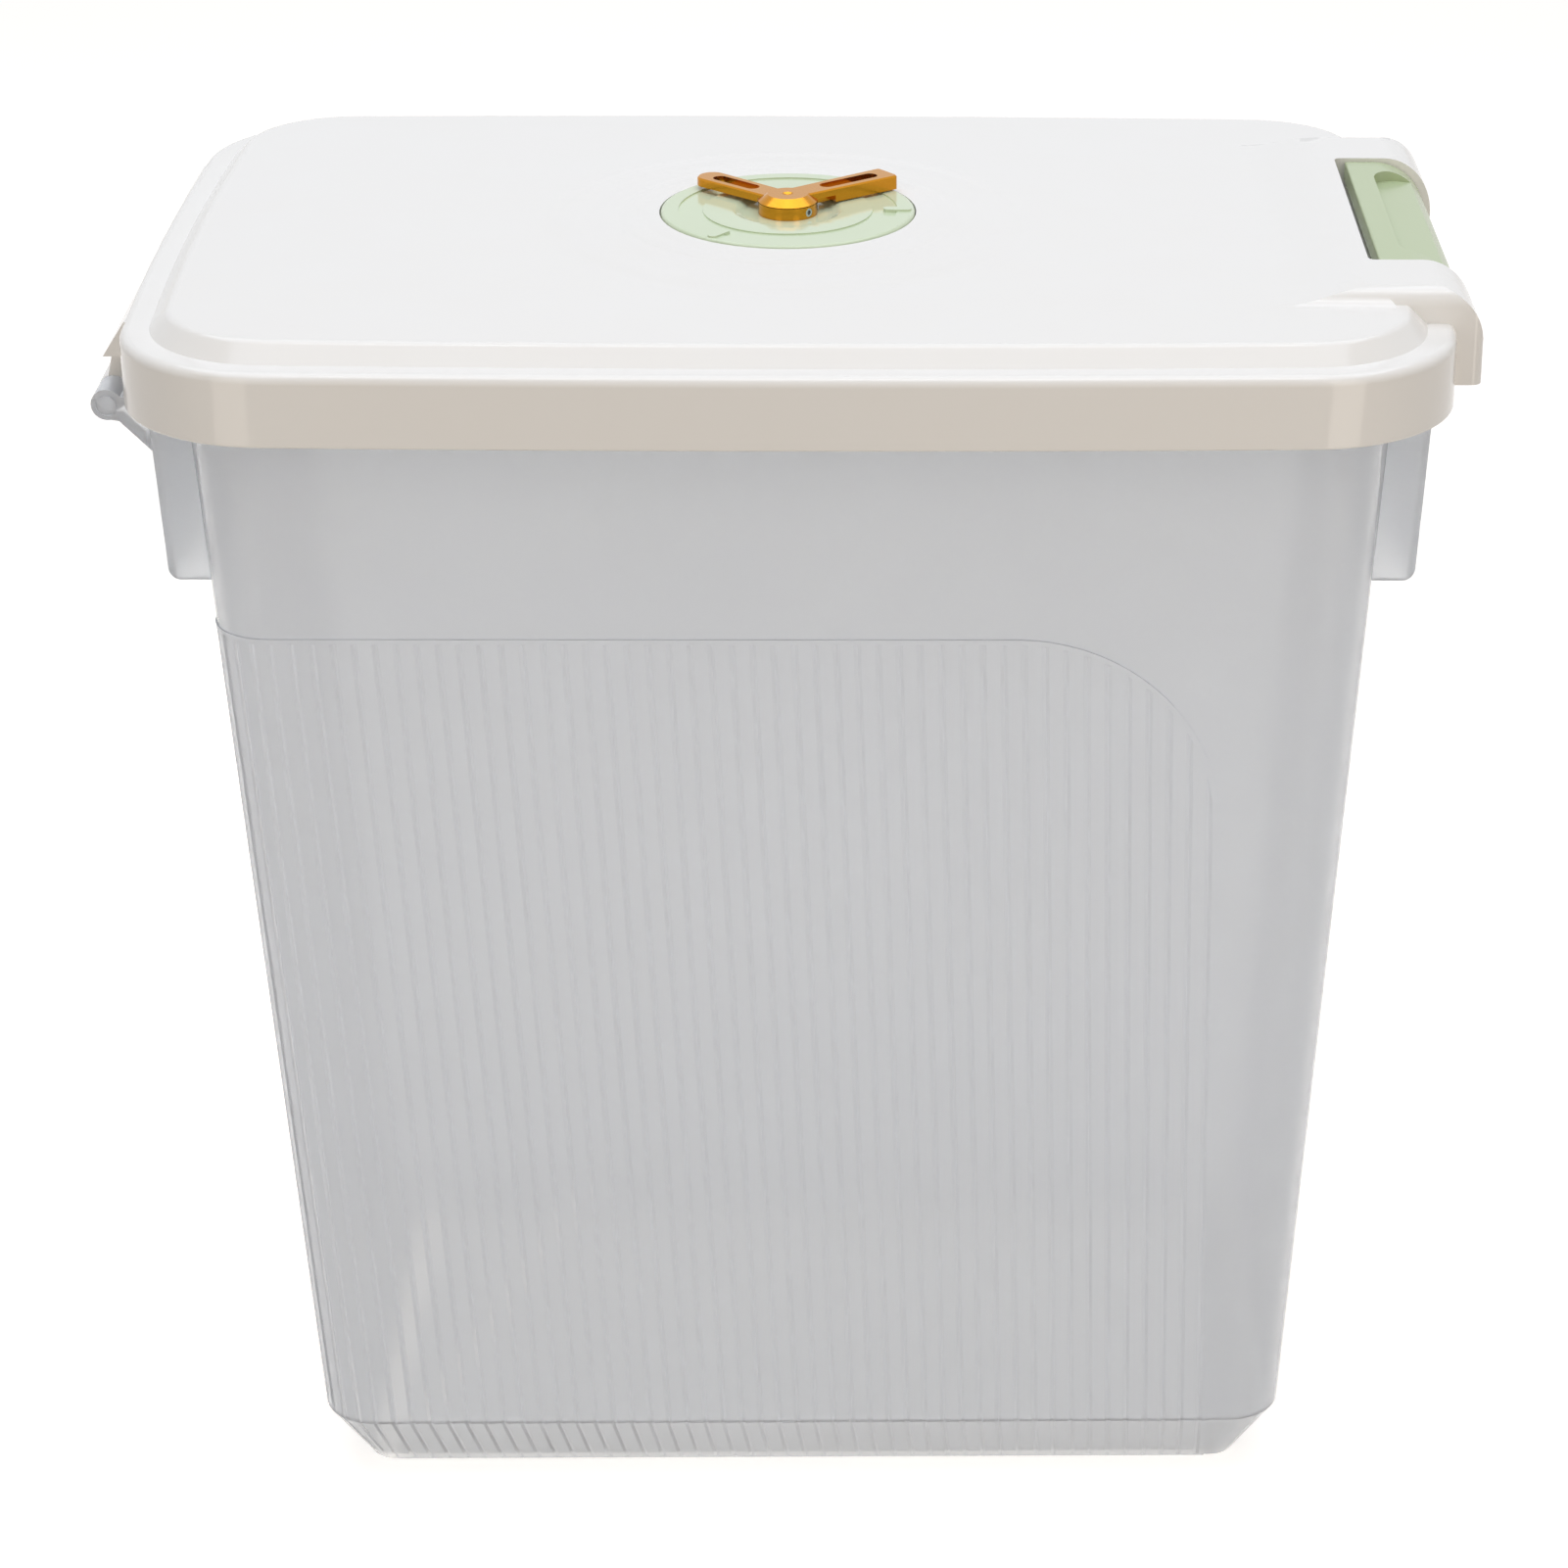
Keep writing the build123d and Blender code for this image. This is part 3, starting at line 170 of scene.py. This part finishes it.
def new_material(name: str) -> tuple[bpy.types.Material, bpy.types.NodeTree]:
    """Make an empty node material.

    Args:
        name: the real material's common name.

    Returns:
        The material and its node tree.
    """
    material = bpy.data.materials.new(name)
    material.use_nodes = True
    material.node_tree.nodes.clear()
    return material, material.node_tree


# ------------------------------------------------------------------------------------------------
# Finishes
# ------------------------------------------------------------------------------------------------


@dataclass(frozen=True)
class MouldedPlastic:
    """Injection-moulded polypropylene or ABS: smooth gloss with a faint flow waviness from the mould.

    Attributes:
        name: the real material's common name.
        colour: its colour, and shade the other end of its faint variation.
        roughness: its mean roughness, which gloss_play varies up and down.
        waviness_mm: width of the flow waves, with their height and the share of it that shows.
        grain_mm: width of the mould's grain, likewise.
    """

    name: str
    colour: str
    shade: str
    roughness: float
    gloss_play: float = 0.015
    waviness_mm: float = 22.0
    waviness_height_mm: float = 1.0
    waviness: float = 0.03
    grain_mm: float = 0.9
    grain_height_mm: float = 0.2
    grain: float = 0.006

    def build(self) -> bpy.types.Material:
        """Make the plastic's node material.

        Returns:
            The material.
        """
        material, tree = new_material(self.name)
        place = add_node(tree, "ShaderNodeTexCoord")
        clouds = add_node(
            tree,
            "ShaderNodeTexNoise",
            {
                "Vector": place.outputs["Object"],
                "Scale": 1 / (self.waviness_mm * MM),
                "Detail": MARK_DETAIL,
            },
        )
        tint = add_node(
            tree,
            "ShaderNodeMix",
            {0: clouds.outputs["Fac"], 6: linear(self.colour), 7: linear(self.shade)},
            data_type="RGBA",
        )
        grain = add_node(
            tree,
            "ShaderNodeTexNoise",
            {
                "Vector": place.outputs["Object"],
                "Scale": 1 / (self.grain_mm * MM),
                "Detail": GRAIN_DETAIL,
            },
        )
        gloss = add_node(
            tree,
            "ShaderNodeMapRange",
            {
                "Value": grain.outputs["Fac"],
                "To Min": self.roughness - self.gloss_play,
                "To Max": self.roughness + self.gloss_play,
            },
        )
        wave = add_node(
            tree,
            "ShaderNodeBump",
            {
                "Height": clouds.outputs["Fac"],
                "Strength": self.waviness,
                "Distance": self.waviness_height_mm * MM,
            },
        )
        fine = add_node(
            tree,
            "ShaderNodeBump",
            {
                "Height": grain.outputs["Fac"],
                "Strength": self.grain,
                "Distance": self.grain_height_mm * MM,
                "Normal": wave.outputs["Normal"],
            },
        )
        shader = add_node(
            tree,
            "ShaderNodeBsdfPrincipled",
            {
                "Base Color": tint.outputs[2],
                "Roughness": gloss.outputs["Result"],
                "IOR": PLASTIC_IOR,
                "Normal": fine.outputs["Normal"],
            },
        )
        add_node(tree, "ShaderNodeOutputMaterial", {"Surface": shader.outputs["BSDF"]})
        return material


@dataclass(frozen=True)
class ClearPolypropylene:
    """Clarified polypropylene: see-through but hazy, a little blue grey, with soft gloss.

    Attributes:
        name: the real material's common name.
        colour: the tint of what is seen through it.
        haze_colour: the colour of the share that scatters.
        roughness: of the clear share, which the hazy share exceeds by haze_roughness.
        haze: the share that scatters, which haze_play varies up and down in clouds of cloud_mm.
        grip_haze: the share on the grips, with their roughness and where they begin and end, out from
            the middle of the bin.
        knuckle_haze: the share on the hinge's knuckles, beyond the grips.
        grain_mm: width of the mould's grain, with its height and the share of it that shows.
    """

    name: str
    colour: str
    haze_colour: str
    roughness: float = 0.12
    haze_roughness: float = 0.1
    haze: float = 0.38
    haze_play: float = 0.03
    cloud_mm: float = 90.0
    grip_haze: float = 0.31
    grip_roughness: float = 0.6
    grip_from_mm: float = 158.0
    grip_to_mm: float = 174.6
    knuckle_haze: float = 0.45
    grain_mm: float = 1.6
    grain_height_mm: float = 0.2
    grain: float = 0.03

    def build(self) -> bpy.types.Material:
        """Make the clear plastic's node material.

        Returns:
            The material.
        """
        material, tree = new_material(self.name)
        place = add_node(tree, "ShaderNodeTexCoord")
        clouds = add_node(
            tree,
            "ShaderNodeTexNoise",
            {
                "Vector": place.outputs["Object"],
                "Scale": 1 / (self.cloud_mm * MM),
                "Detail": GRAIN_DETAIL,
            },
        )
        grain = add_node(
            tree,
            "ShaderNodeTexNoise",
            {
                "Vector": place.outputs["Object"],
                "Scale": 1 / (self.grain_mm * MM),
                "Detail": GRAIN_DETAIL,
            },
        )
        bump = add_node(
            tree,
            "ShaderNodeBump",
            {
                "Height": grain.outputs["Fac"],
                "Strength": self.grain,
                "Distance": self.grain_height_mm * MM,
            },
        )
        # The grips' outer walls are spark-eroded, which frosts them; the thick knuckles look a little hazier.
        axes = add_node(tree, "ShaderNodeSeparateXYZ", {0: place.outputs["Object"]})
        reach = add_node(tree, "ShaderNodeMath", {0: axes.outputs["X"]}, operation="ABSOLUTE")
        beyond = add_node(
            tree,
            "ShaderNodeMath",
            {0: reach.outputs[0], 1: self.grip_from_mm * MM},
            operation="GREATER_THAN",
        )
        knuckle = add_node(
            tree,
            "ShaderNodeMath",
            {0: reach.outputs[0], 1: self.grip_to_mm * MM},
            operation="GREATER_THAN",
        )
        grip = add_node(
            tree, "ShaderNodeMath", {0: beyond.outputs[0], 1: knuckle.outputs[0]}, operation="SUBTRACT"
        )
        frost = add_node(
            tree,
            "ShaderNodeMapRange",
            {"Value": grip.outputs[0], "To Min": self.roughness, "To Max": self.grip_roughness},
        )
        clear = add_node(
            tree,
            "ShaderNodeBsdfPrincipled",
            {
                "Base Color": linear(self.colour),
                "Roughness": frost.outputs["Result"],
                "IOR": PLASTIC_IOR,
                "Transmission Weight": 1.0,
                "Normal": bump.outputs["Normal"],
            },
        )
        hazy = add_node(
            tree,
            "ShaderNodeBsdfPrincipled",
            {
                "Base Color": linear(self.haze_colour),
                "Roughness": self.roughness + self.haze_roughness,
                "IOR": PLASTIC_IOR,
                "Normal": bump.outputs["Normal"],
            },
        )
        share = add_node(
            tree,
            "ShaderNodeMapRange",
            {
                "Value": clouds.outputs["Fac"],
                "To Min": self.haze - self.haze_play,
                "To Max": self.haze + self.haze_play,
            },
        )
        dull = add_node(
            tree,
            "ShaderNodeMix",
            {0: grip.outputs[0], 2: share.outputs["Result"], 3: self.grip_haze},
            data_type="FLOAT",
        )
        scattering = add_node(
            tree,
            "ShaderNodeMix",
            {0: knuckle.outputs[0], 2: dull.outputs[0], 3: self.knuckle_haze},
            data_type="FLOAT",
        )
        mixed = add_node(
            tree,
            "ShaderNodeMixShader",
            {0: scattering.outputs[0], 1: clear.outputs["BSDF"], 2: hazy.outputs["BSDF"]},
        )
        add_node(tree, "ShaderNodeOutputMaterial", {"Surface": mixed.outputs["Shader"]})
        return material


@dataclass(frozen=True)
class PlainMetal:
    """Turned or drawn metal: anodised aluminium or plated steel with fine tool marks.

    Attributes:
        name: the real material's common name.
        colour: its colour, and shade the colour in the marks.
        roughness: its roughness, which the marks vary by gloss_down and gloss_up.
        mark_mm: width of the tool marks, with their height and the share of it that shows.
    """

    name: str
    colour: str
    shade: str
    roughness: float
    gloss_down: float = 0.06
    gloss_up: float = 0.08
    mark_mm: float = 0.8
    mark_height_mm: float = 0.05
    mark: float = 0.04

    def build(self) -> bpy.types.Material:
        """Make the metal's node material.

        Returns:
            The material.
        """
        material, tree = new_material(self.name)
        place = add_node(tree, "ShaderNodeTexCoord")
        marks = add_node(
            tree,
            "ShaderNodeTexNoise",
            {
                "Vector": place.outputs["Object"],
                "Scale": 1 / (self.mark_mm * MM),
                "Detail": MARK_DETAIL,
            },
        )
        tint = add_node(
            tree,
            "ShaderNodeMix",
            {0: marks.outputs["Fac"], 6: linear(self.colour), 7: linear(self.shade)},
            data_type="RGBA",
        )
        gloss = add_node(
            tree,
            "ShaderNodeMapRange",
            {
                "Value": marks.outputs["Fac"],
                "To Min": self.roughness - self.gloss_down,
                "To Max": self.roughness + self.gloss_up,
            },
        )
        bump = add_node(
            tree,
            "ShaderNodeBump",
            {
                "Height": marks.outputs["Fac"],
                "Strength": self.mark,
                "Distance": self.mark_height_mm * MM,
            },
        )
        shader = add_node(
            tree,
            "ShaderNodeBsdfPrincipled",
            {
                "Base Color": tint.outputs[2],
                "Metallic": 1.0,
                "Roughness": gloss.outputs["Result"],
                "Normal": bump.outputs["Normal"],
            },
        )
        add_node(tree, "ShaderNodeOutputMaterial", {"Surface": shader.outputs["BSDF"]})
        return material


# Clarified polypropylene, moulded and polished: the bin's walls look hazy grey against white.
CLEAR_BIN = ClearPolypropylene("clarified_polypropylene", "FBFDFE", "F1F4FA")
# Ivory polypropylene, moulded in a polished mould: near white in light, warm beige in shade.
IVORY_LID = MouldedPlastic("ivory_polypropylene", "F1EEE9", "F0ECE6", roughness=0.1)
# White polypropylene of the cup: plainer and duller than the lid.
WHITE_CUP = MouldedPlastic("white_polypropylene", "F1F0EC", "ECEBE6", roughness=0.35)
# Sage green ABS of the latch.
SAGE_LATCH = MouldedPlastic("sage_green_abs", "BAC69F", "B6C39A", roughness=0.24)
# Pale green ABS of the dial cap.
PALE_DIAL = MouldedPlastic("pale_green_abs", "D3DFBF", "CFDBBA", roughness=0.1)
# Silicone rubber of the seals: soft, matt and milky.
SILICONE = MouldedPlastic("silicone_rubber", "E4E4DF", "DCDCD6", roughness=0.6)
# Gold anodised aluminium of the handle and collar.
GOLD_METAL = PlainMetal("gold_anodised_aluminium", "CD8E2D", "C28322", roughness=0.18)
# Polished stainless steel of the hinge pin: bright, so the clear knuckles stay light.
BRIGHT_STEEL = PlainMetal("polished_stainless_steel", "E6E7E8", "DEDFE0", roughness=0.14)
# Zinc-plated steel of pins, springs and fasteners.
ZINC_STEEL = PlainMetal("zinc_plated_steel", "C4C6C8", "B4B6B8", roughness=0.3)


# ------------------------------------------------------------------------------------------------
# Object helpers
# ------------------------------------------------------------------------------------------------


def select_only(piece: bpy.types.Object) -> None:
    """Deselect everything, then select one object and make it active.

    Args:
        piece: the object to select.
    """
    for other in bpy.context.view_layer.objects:
        other.select_set(False)
    piece.select_set(True)
    bpy.context.view_layer.objects.active = piece


def paint(piece: bpy.types.Object, material: bpy.types.Material) -> None:
    """Give an object one material."""
    piece.data.materials.clear()
    piece.data.materials.append(material)


def mount(piece: bpy.types.Object, body: Body, slot: Slot, *nodes: str) -> None:
    """Let a piece ride on a body and stand for solids.

    Args:
        piece: the finished piece.
        body: body that it moves with.
        slot: the record's slot for its finish; not used.
        nodes: solids that it stands for.
    """
    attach(piece, body.value)
    if nodes:
        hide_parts(*nodes)
    log.info("%s: %d faces on %s", piece.name, len(piece.data.polygons), body.value)


def welded_copy(node: str, name: str, smooth_degrees: float = 32.0) -> bpy.types.Object:
    """Copy a solid's mesh, weld its triangles and smooth its shading.

    Args:
        node: the solid's node.
        name: name of the new piece.
        smooth_degrees: edges sharper than this stay sharp.

    Returns:
        The new object, at the origin.
    """
    piece = bpy.data.objects.new(name, frame["nodes"][node].data.copy())
    bpy.context.scene.collection.objects.link(piece)
    select_only(piece)
    if piece.data.has_custom_normals:
        bpy.ops.mesh.customdata_custom_splitnormals_clear()
    bpy.ops.object.mode_set(mode="EDIT")
    bpy.ops.mesh.select_all(action="SELECT")
    bpy.ops.mesh.remove_doubles(threshold=WELD_MM * MM)
    bpy.ops.object.mode_set(mode="OBJECT")
    bpy.ops.object.shade_smooth_by_angle(angle=math.radians(smooth_degrees))
    bpy.ops.object.modifier_add(type="WEIGHTED_NORMAL")
    piece.modifiers[-1].keep_sharp = True
    bpy.ops.object.modifier_apply(modifier=piece.modifiers[-1].name)
    return piece


# ------------------------------------------------------------------------------------------------
# Sub-assemblies
# ------------------------------------------------------------------------------------------------


@dataclass
class Bin:
    """The clear bin and its hinge pin."""

    reed_crease_degrees: float = 20.0

    def build(self) -> None:
        """Dress the bin's pieces, with the reeds' shallow edges kept sharp."""
        walls = welded_copy("bin_body", "clear_bin", self.reed_crease_degrees)
        paint(walls, CLEAR_BIN.build())
        mount(walls, Body.BIN, Slot.CLEAR, "bin_body")
        pin = welded_copy("hinge_pin", "hinge_rod")
        paint(pin, BRIGHT_STEEL.build())
        mount(pin, Body.BIN, Slot.STEEL, "hinge_pin")


@dataclass
class Lid:
    """The ivory lid, its seal, the drying cup and what stays in it of the latch.

    Attributes:
        lever_axis_x_mm: where the lever's pin is; not used.
        lever_turn_deg: how far the lever rocks; not used.
    """

    lever_axis_x_mm: float = 174.5
    lever_turn_deg: float = 12.0

    def build(self) -> None:
        """Dress the lid's pieces."""
        shell = welded_copy("lid_shell", "ivory_lid")
        paint(shell, IVORY_LID.build())
        mount(shell, Body.LID, Slot.WHITE, "lid_shell")
        for node, name, finish, slot in (
            ("lid_gasket", "rim_seal", SILICONE, Slot.SEAL),
            ("latch_pin", "latch_rod", ZINC_STEEL, Slot.STEEL),
            ("latch_springs", "latch_coils", ZINC_STEEL, Slot.STEEL),
            ("drying_cup", "slotted_cup", WHITE_CUP, Slot.WHITE),
        ):
            piece = welded_copy(node, name)
            paint(piece, finish.build())
            mount(piece, Body.LID, slot, node)
            if node == "latch_springs":
                self.squeeze(piece)

    def squeeze(self, coils: bpy.types.Object) -> None:
        """Give the coils a mesh of their own.

        Args:
            coils: the two springs under the lever's inner end.
        """
        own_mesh(coils)


@dataclass
class Latch:
    """The sage green lever."""

    def build(self) -> None:
        """Dress the lever."""
        lever = welded_copy("latch_button", "thumb_lever")
        paint(lever, SAGE_LATCH.build())
        mount(lever, Body.LATCH, Slot.GREEN, "latch_button")


@dataclass
class Dial:
    """The pale green cap with its gold handle and the fasteners below."""

    def build(self) -> None:
        """Dress the dial's pieces."""
        for node, name, finish, slot in (
            ("dial_cap", "turning_cap", PALE_DIAL, Slot.PALE_GREEN),
            ("dial_seal", "cap_seal", SILICONE, Slot.SEAL),
            ("handle_collar", "gold_collar", GOLD_METAL, Slot.GOLD),
            ("wing_handle", "gold_wings", GOLD_METAL, Slot.GOLD),
            ("grub_screw", "collar_screw", ZINC_STEEL, Slot.STEEL),
            ("dial_spindle", "threaded_shank", ZINC_STEEL, Slot.STEEL),
            ("spindle_washer", "plain_washer", ZINC_STEEL, Slot.STEEL),
            ("spindle_nut", "hex_nut", ZINC_STEEL, Slot.STEEL),
        ):
            piece = welded_copy(node, name)
            paint(piece, finish.build())
            mount(piece, Body.DIAL, slot, node)


@dataclass(frozen=True)
class SoftLamp:
    """A rectangular soft lamp that faces a point.

    Attributes:
        name: the lamp's name.
        place: its position in metres.
        target: the point that it faces, in metres.
        size: its width and height in metres.
        radiance: how bright its face looks, where 1 is white.
        colour: its colour.
    """

    name: str
    place: tuple[float, float, float]
    target: tuple[float, float, float]
    size: tuple[float, float]
    radiance: float
    colour: str

    def hang(self) -> None:
        """Put the lamp in the scene."""
        data = bpy.data.lights.new(self.name, "AREA")
        data.shape = "RECTANGLE"
        data.size, data.size_y = self.size
        data.energy = self.radiance * math.pi * self.size[0] * self.size[1]
        data.color = linear(self.colour)[:3]
        lamp = bpy.data.objects.new(self.name, data)
        away = Vector(self.place) - Vector(self.target)
        turn = away.to_track_quat("Z", "Y").to_matrix().to_4x4()
        lamp.matrix_world = Matrix.Translation(Vector(self.place)) @ turn
        bpy.context.scene.collection.objects.link(lamp)


LID_TOP = (0.0, 0.0, 0.36)

# A large cool softbox above, a brighter one in it, and a warm strip box at each side of the camera, whose
# mirror images are the two upright stripes on the skirt's corners.
LAMPS = (
    SoftLamp("top_softbox", (0.0, 0.15, 1.7), LID_TOP, (1.8, 1.8), 1.76, "ECF3FF"),
    SoftLamp("overhead_key", (0.0, -0.17, 1.6), LID_TOP, (0.7, 0.26), 3.0, "F4F8FF"),
    SoftLamp("left_strip_box", (-0.54, -0.77, 0.62), (-0.14, -0.08, 0.62), (0.34, 1.2), 1.35, "FFF5E8"),
    SoftLamp("right_strip_box", (0.54, -0.77, 0.62), (0.14, -0.08, 0.62), (0.34, 1.2), 1.75, "FFF5E8"),
)


@dataclass
class Studio:
    """Pale floor, soft lamps, white world and the photograph's camera.

    Attributes:
        camera_mm: the camera's position, with its pitch, yaw and roll.
        focal_px: its focal length, in the photograph's pixels.
        axis_px: the pixel that its axis goes through.
        near_m: nearest distance that it sees.
        floor_m: the floor's side.
        floor_colour: its colour in the lamps' light, to which floor_glow adds where the camera looks.
        room_light: the world's light on the object.
    """

    camera_mm: tuple[float, float, float] = (25.44, -1152.0, 717.54)
    focal_px: float = 4284.0
    pitch_deg: float = 25.361
    yaw_deg: float = 1.642
    roll_deg: float = 0.661
    axis_px: tuple[float, float] = (1016.7, 865.3)
    near_m: float = 0.05
    floor_m: float = 12.0
    floor_colour: str = "D2CAC1"
    floor_glow: float = 0.75
    room_light: float = 0.25

    def camera(self) -> None:
        """Place the camera that the photograph was taken from."""
        pitch = math.radians(self.pitch_deg)
        yaw = math.radians(self.yaw_deg)
        roll = math.radians(self.roll_deg)
        ahead = Vector((math.sin(yaw) * math.cos(pitch), math.cos(yaw) * math.cos(pitch), -math.sin(pitch)))
        level = Vector((math.cos(yaw), -math.sin(yaw), 0.0))
        upward = level.cross(ahead)
        right = math.cos(roll) * level + math.sin(roll) * upward
        up = math.cos(roll) * upward - math.sin(roll) * level
        turn = Matrix((right, up, -ahead)).transposed()
        data = bpy.data.cameras.new("photo_camera")
        data.sensor_width = SENSOR_MM
        data.lens = self.focal_px / PHOTO_PIXELS * SENSOR_MM
        middle = PHOTO_PIXELS / 2
        data.shift_x = (middle - self.axis_px[0]) / PHOTO_PIXELS
        data.shift_y = (self.axis_px[1] - middle) / PHOTO_PIXELS
        data.clip_start = self.near_m
        camera = bpy.data.objects.new("photo_camera", data)
        camera.matrix_world = Matrix.Translation(Vector(self.camera_mm) * MM) @ turn.to_4x4()
        bpy.context.scene.collection.objects.link(camera)
        bpy.context.scene.camera = camera

    def looking(self, tree: bpy.types.NodeTree) -> bpy.types.NodeSocket:
        """Tell rays that only look, straight, in gloss or through clear plastic, from rays that light.

        Args:
            tree: the node tree that asks.

        Returns:
            A socket that is 1 for camera, glossy and transmission rays and 0 for others.
        """
        rays = add_node(tree, "ShaderNodeLightPath")
        seen = add_node(
            tree,
            "ShaderNodeMath",
            {0: rays.outputs["Is Camera Ray"], 1: rays.outputs["Is Glossy Ray"]},
            operation="MAXIMUM",
        )
        seen_through = add_node(
            tree,
            "ShaderNodeMath",
            {0: seen.outputs[0], 1: rays.outputs["Is Transmission Ray"]},
            operation="MAXIMUM",
        )
        return seen_through.outputs[0]

    def floor(self) -> None:
        """Lay a pale floor that keeps a soft shadow."""
        bpy.ops.object.select_all(action="DESELECT")
        bpy.ops.mesh.primitive_plane_add(size=self.floor_m, location=(0.0, 0.0, 0.0))
        floor = bpy.context.active_object
        floor.name = "pale_floor"
        material, tree = new_material("matt_white_board")
        lit = add_node(tree, "ShaderNodeBsdfDiffuse", {"Color": linear(self.floor_colour)})
        glow = add_node(
            tree,
            "ShaderNodeEmission",
            {"Color": linear(PURE_WHITE), "Strength": self.floor_glow},
        )
        both = add_node(tree, "ShaderNodeAddShader", {0: lit.outputs[0], 1: glow.outputs[0]})
        picked = add_node(
            tree,
            "ShaderNodeMixShader",
            {0: self.looking(tree), 1: lit.outputs[0], 2: both.outputs[0]},
        )
        add_node(tree, "ShaderNodeOutputMaterial", {"Surface": picked.outputs[0]})
        paint(floor, material)

    def world(self) -> None:
        """Give even soft light, and white where the camera, gloss or clear plastic sees the world."""
        world = bpy.data.worlds.new("white_room")
        world.use_nodes = True
        tree = world.node_tree
        tree.nodes.clear()
        room = add_node(
            tree,
            "ShaderNodeBackground",
            {"Color": linear(PURE_WHITE), "Strength": self.room_light},
        )
        white = add_node(tree, "ShaderNodeBackground", {"Color": linear(PURE_WHITE), "Strength": 1.0})
        picked = add_node(
            tree,
            "ShaderNodeMixShader",
            {0: self.looking(tree), 1: room.outputs[0], 2: white.outputs[0]},
        )
        add_node(tree, "ShaderNodeOutputWorld", {"Surface": picked.outputs[0]})
        bpy.context.scene.world = world

    def build(self) -> None:
        """Set the stage."""
        bpy.context.scene.view_settings.view_transform = "Standard"
        self.camera()
        self.world()
        self.floor()
        for lamp in LAMPS:
            lamp.hang()


def main() -> None:
    """Build every sub-assembly in order."""
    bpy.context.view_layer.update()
    Studio().build()
    Bin().build()
    Lid().build()
    Latch().build()
    Dial().build()


if __name__ == "__main__":
    main()
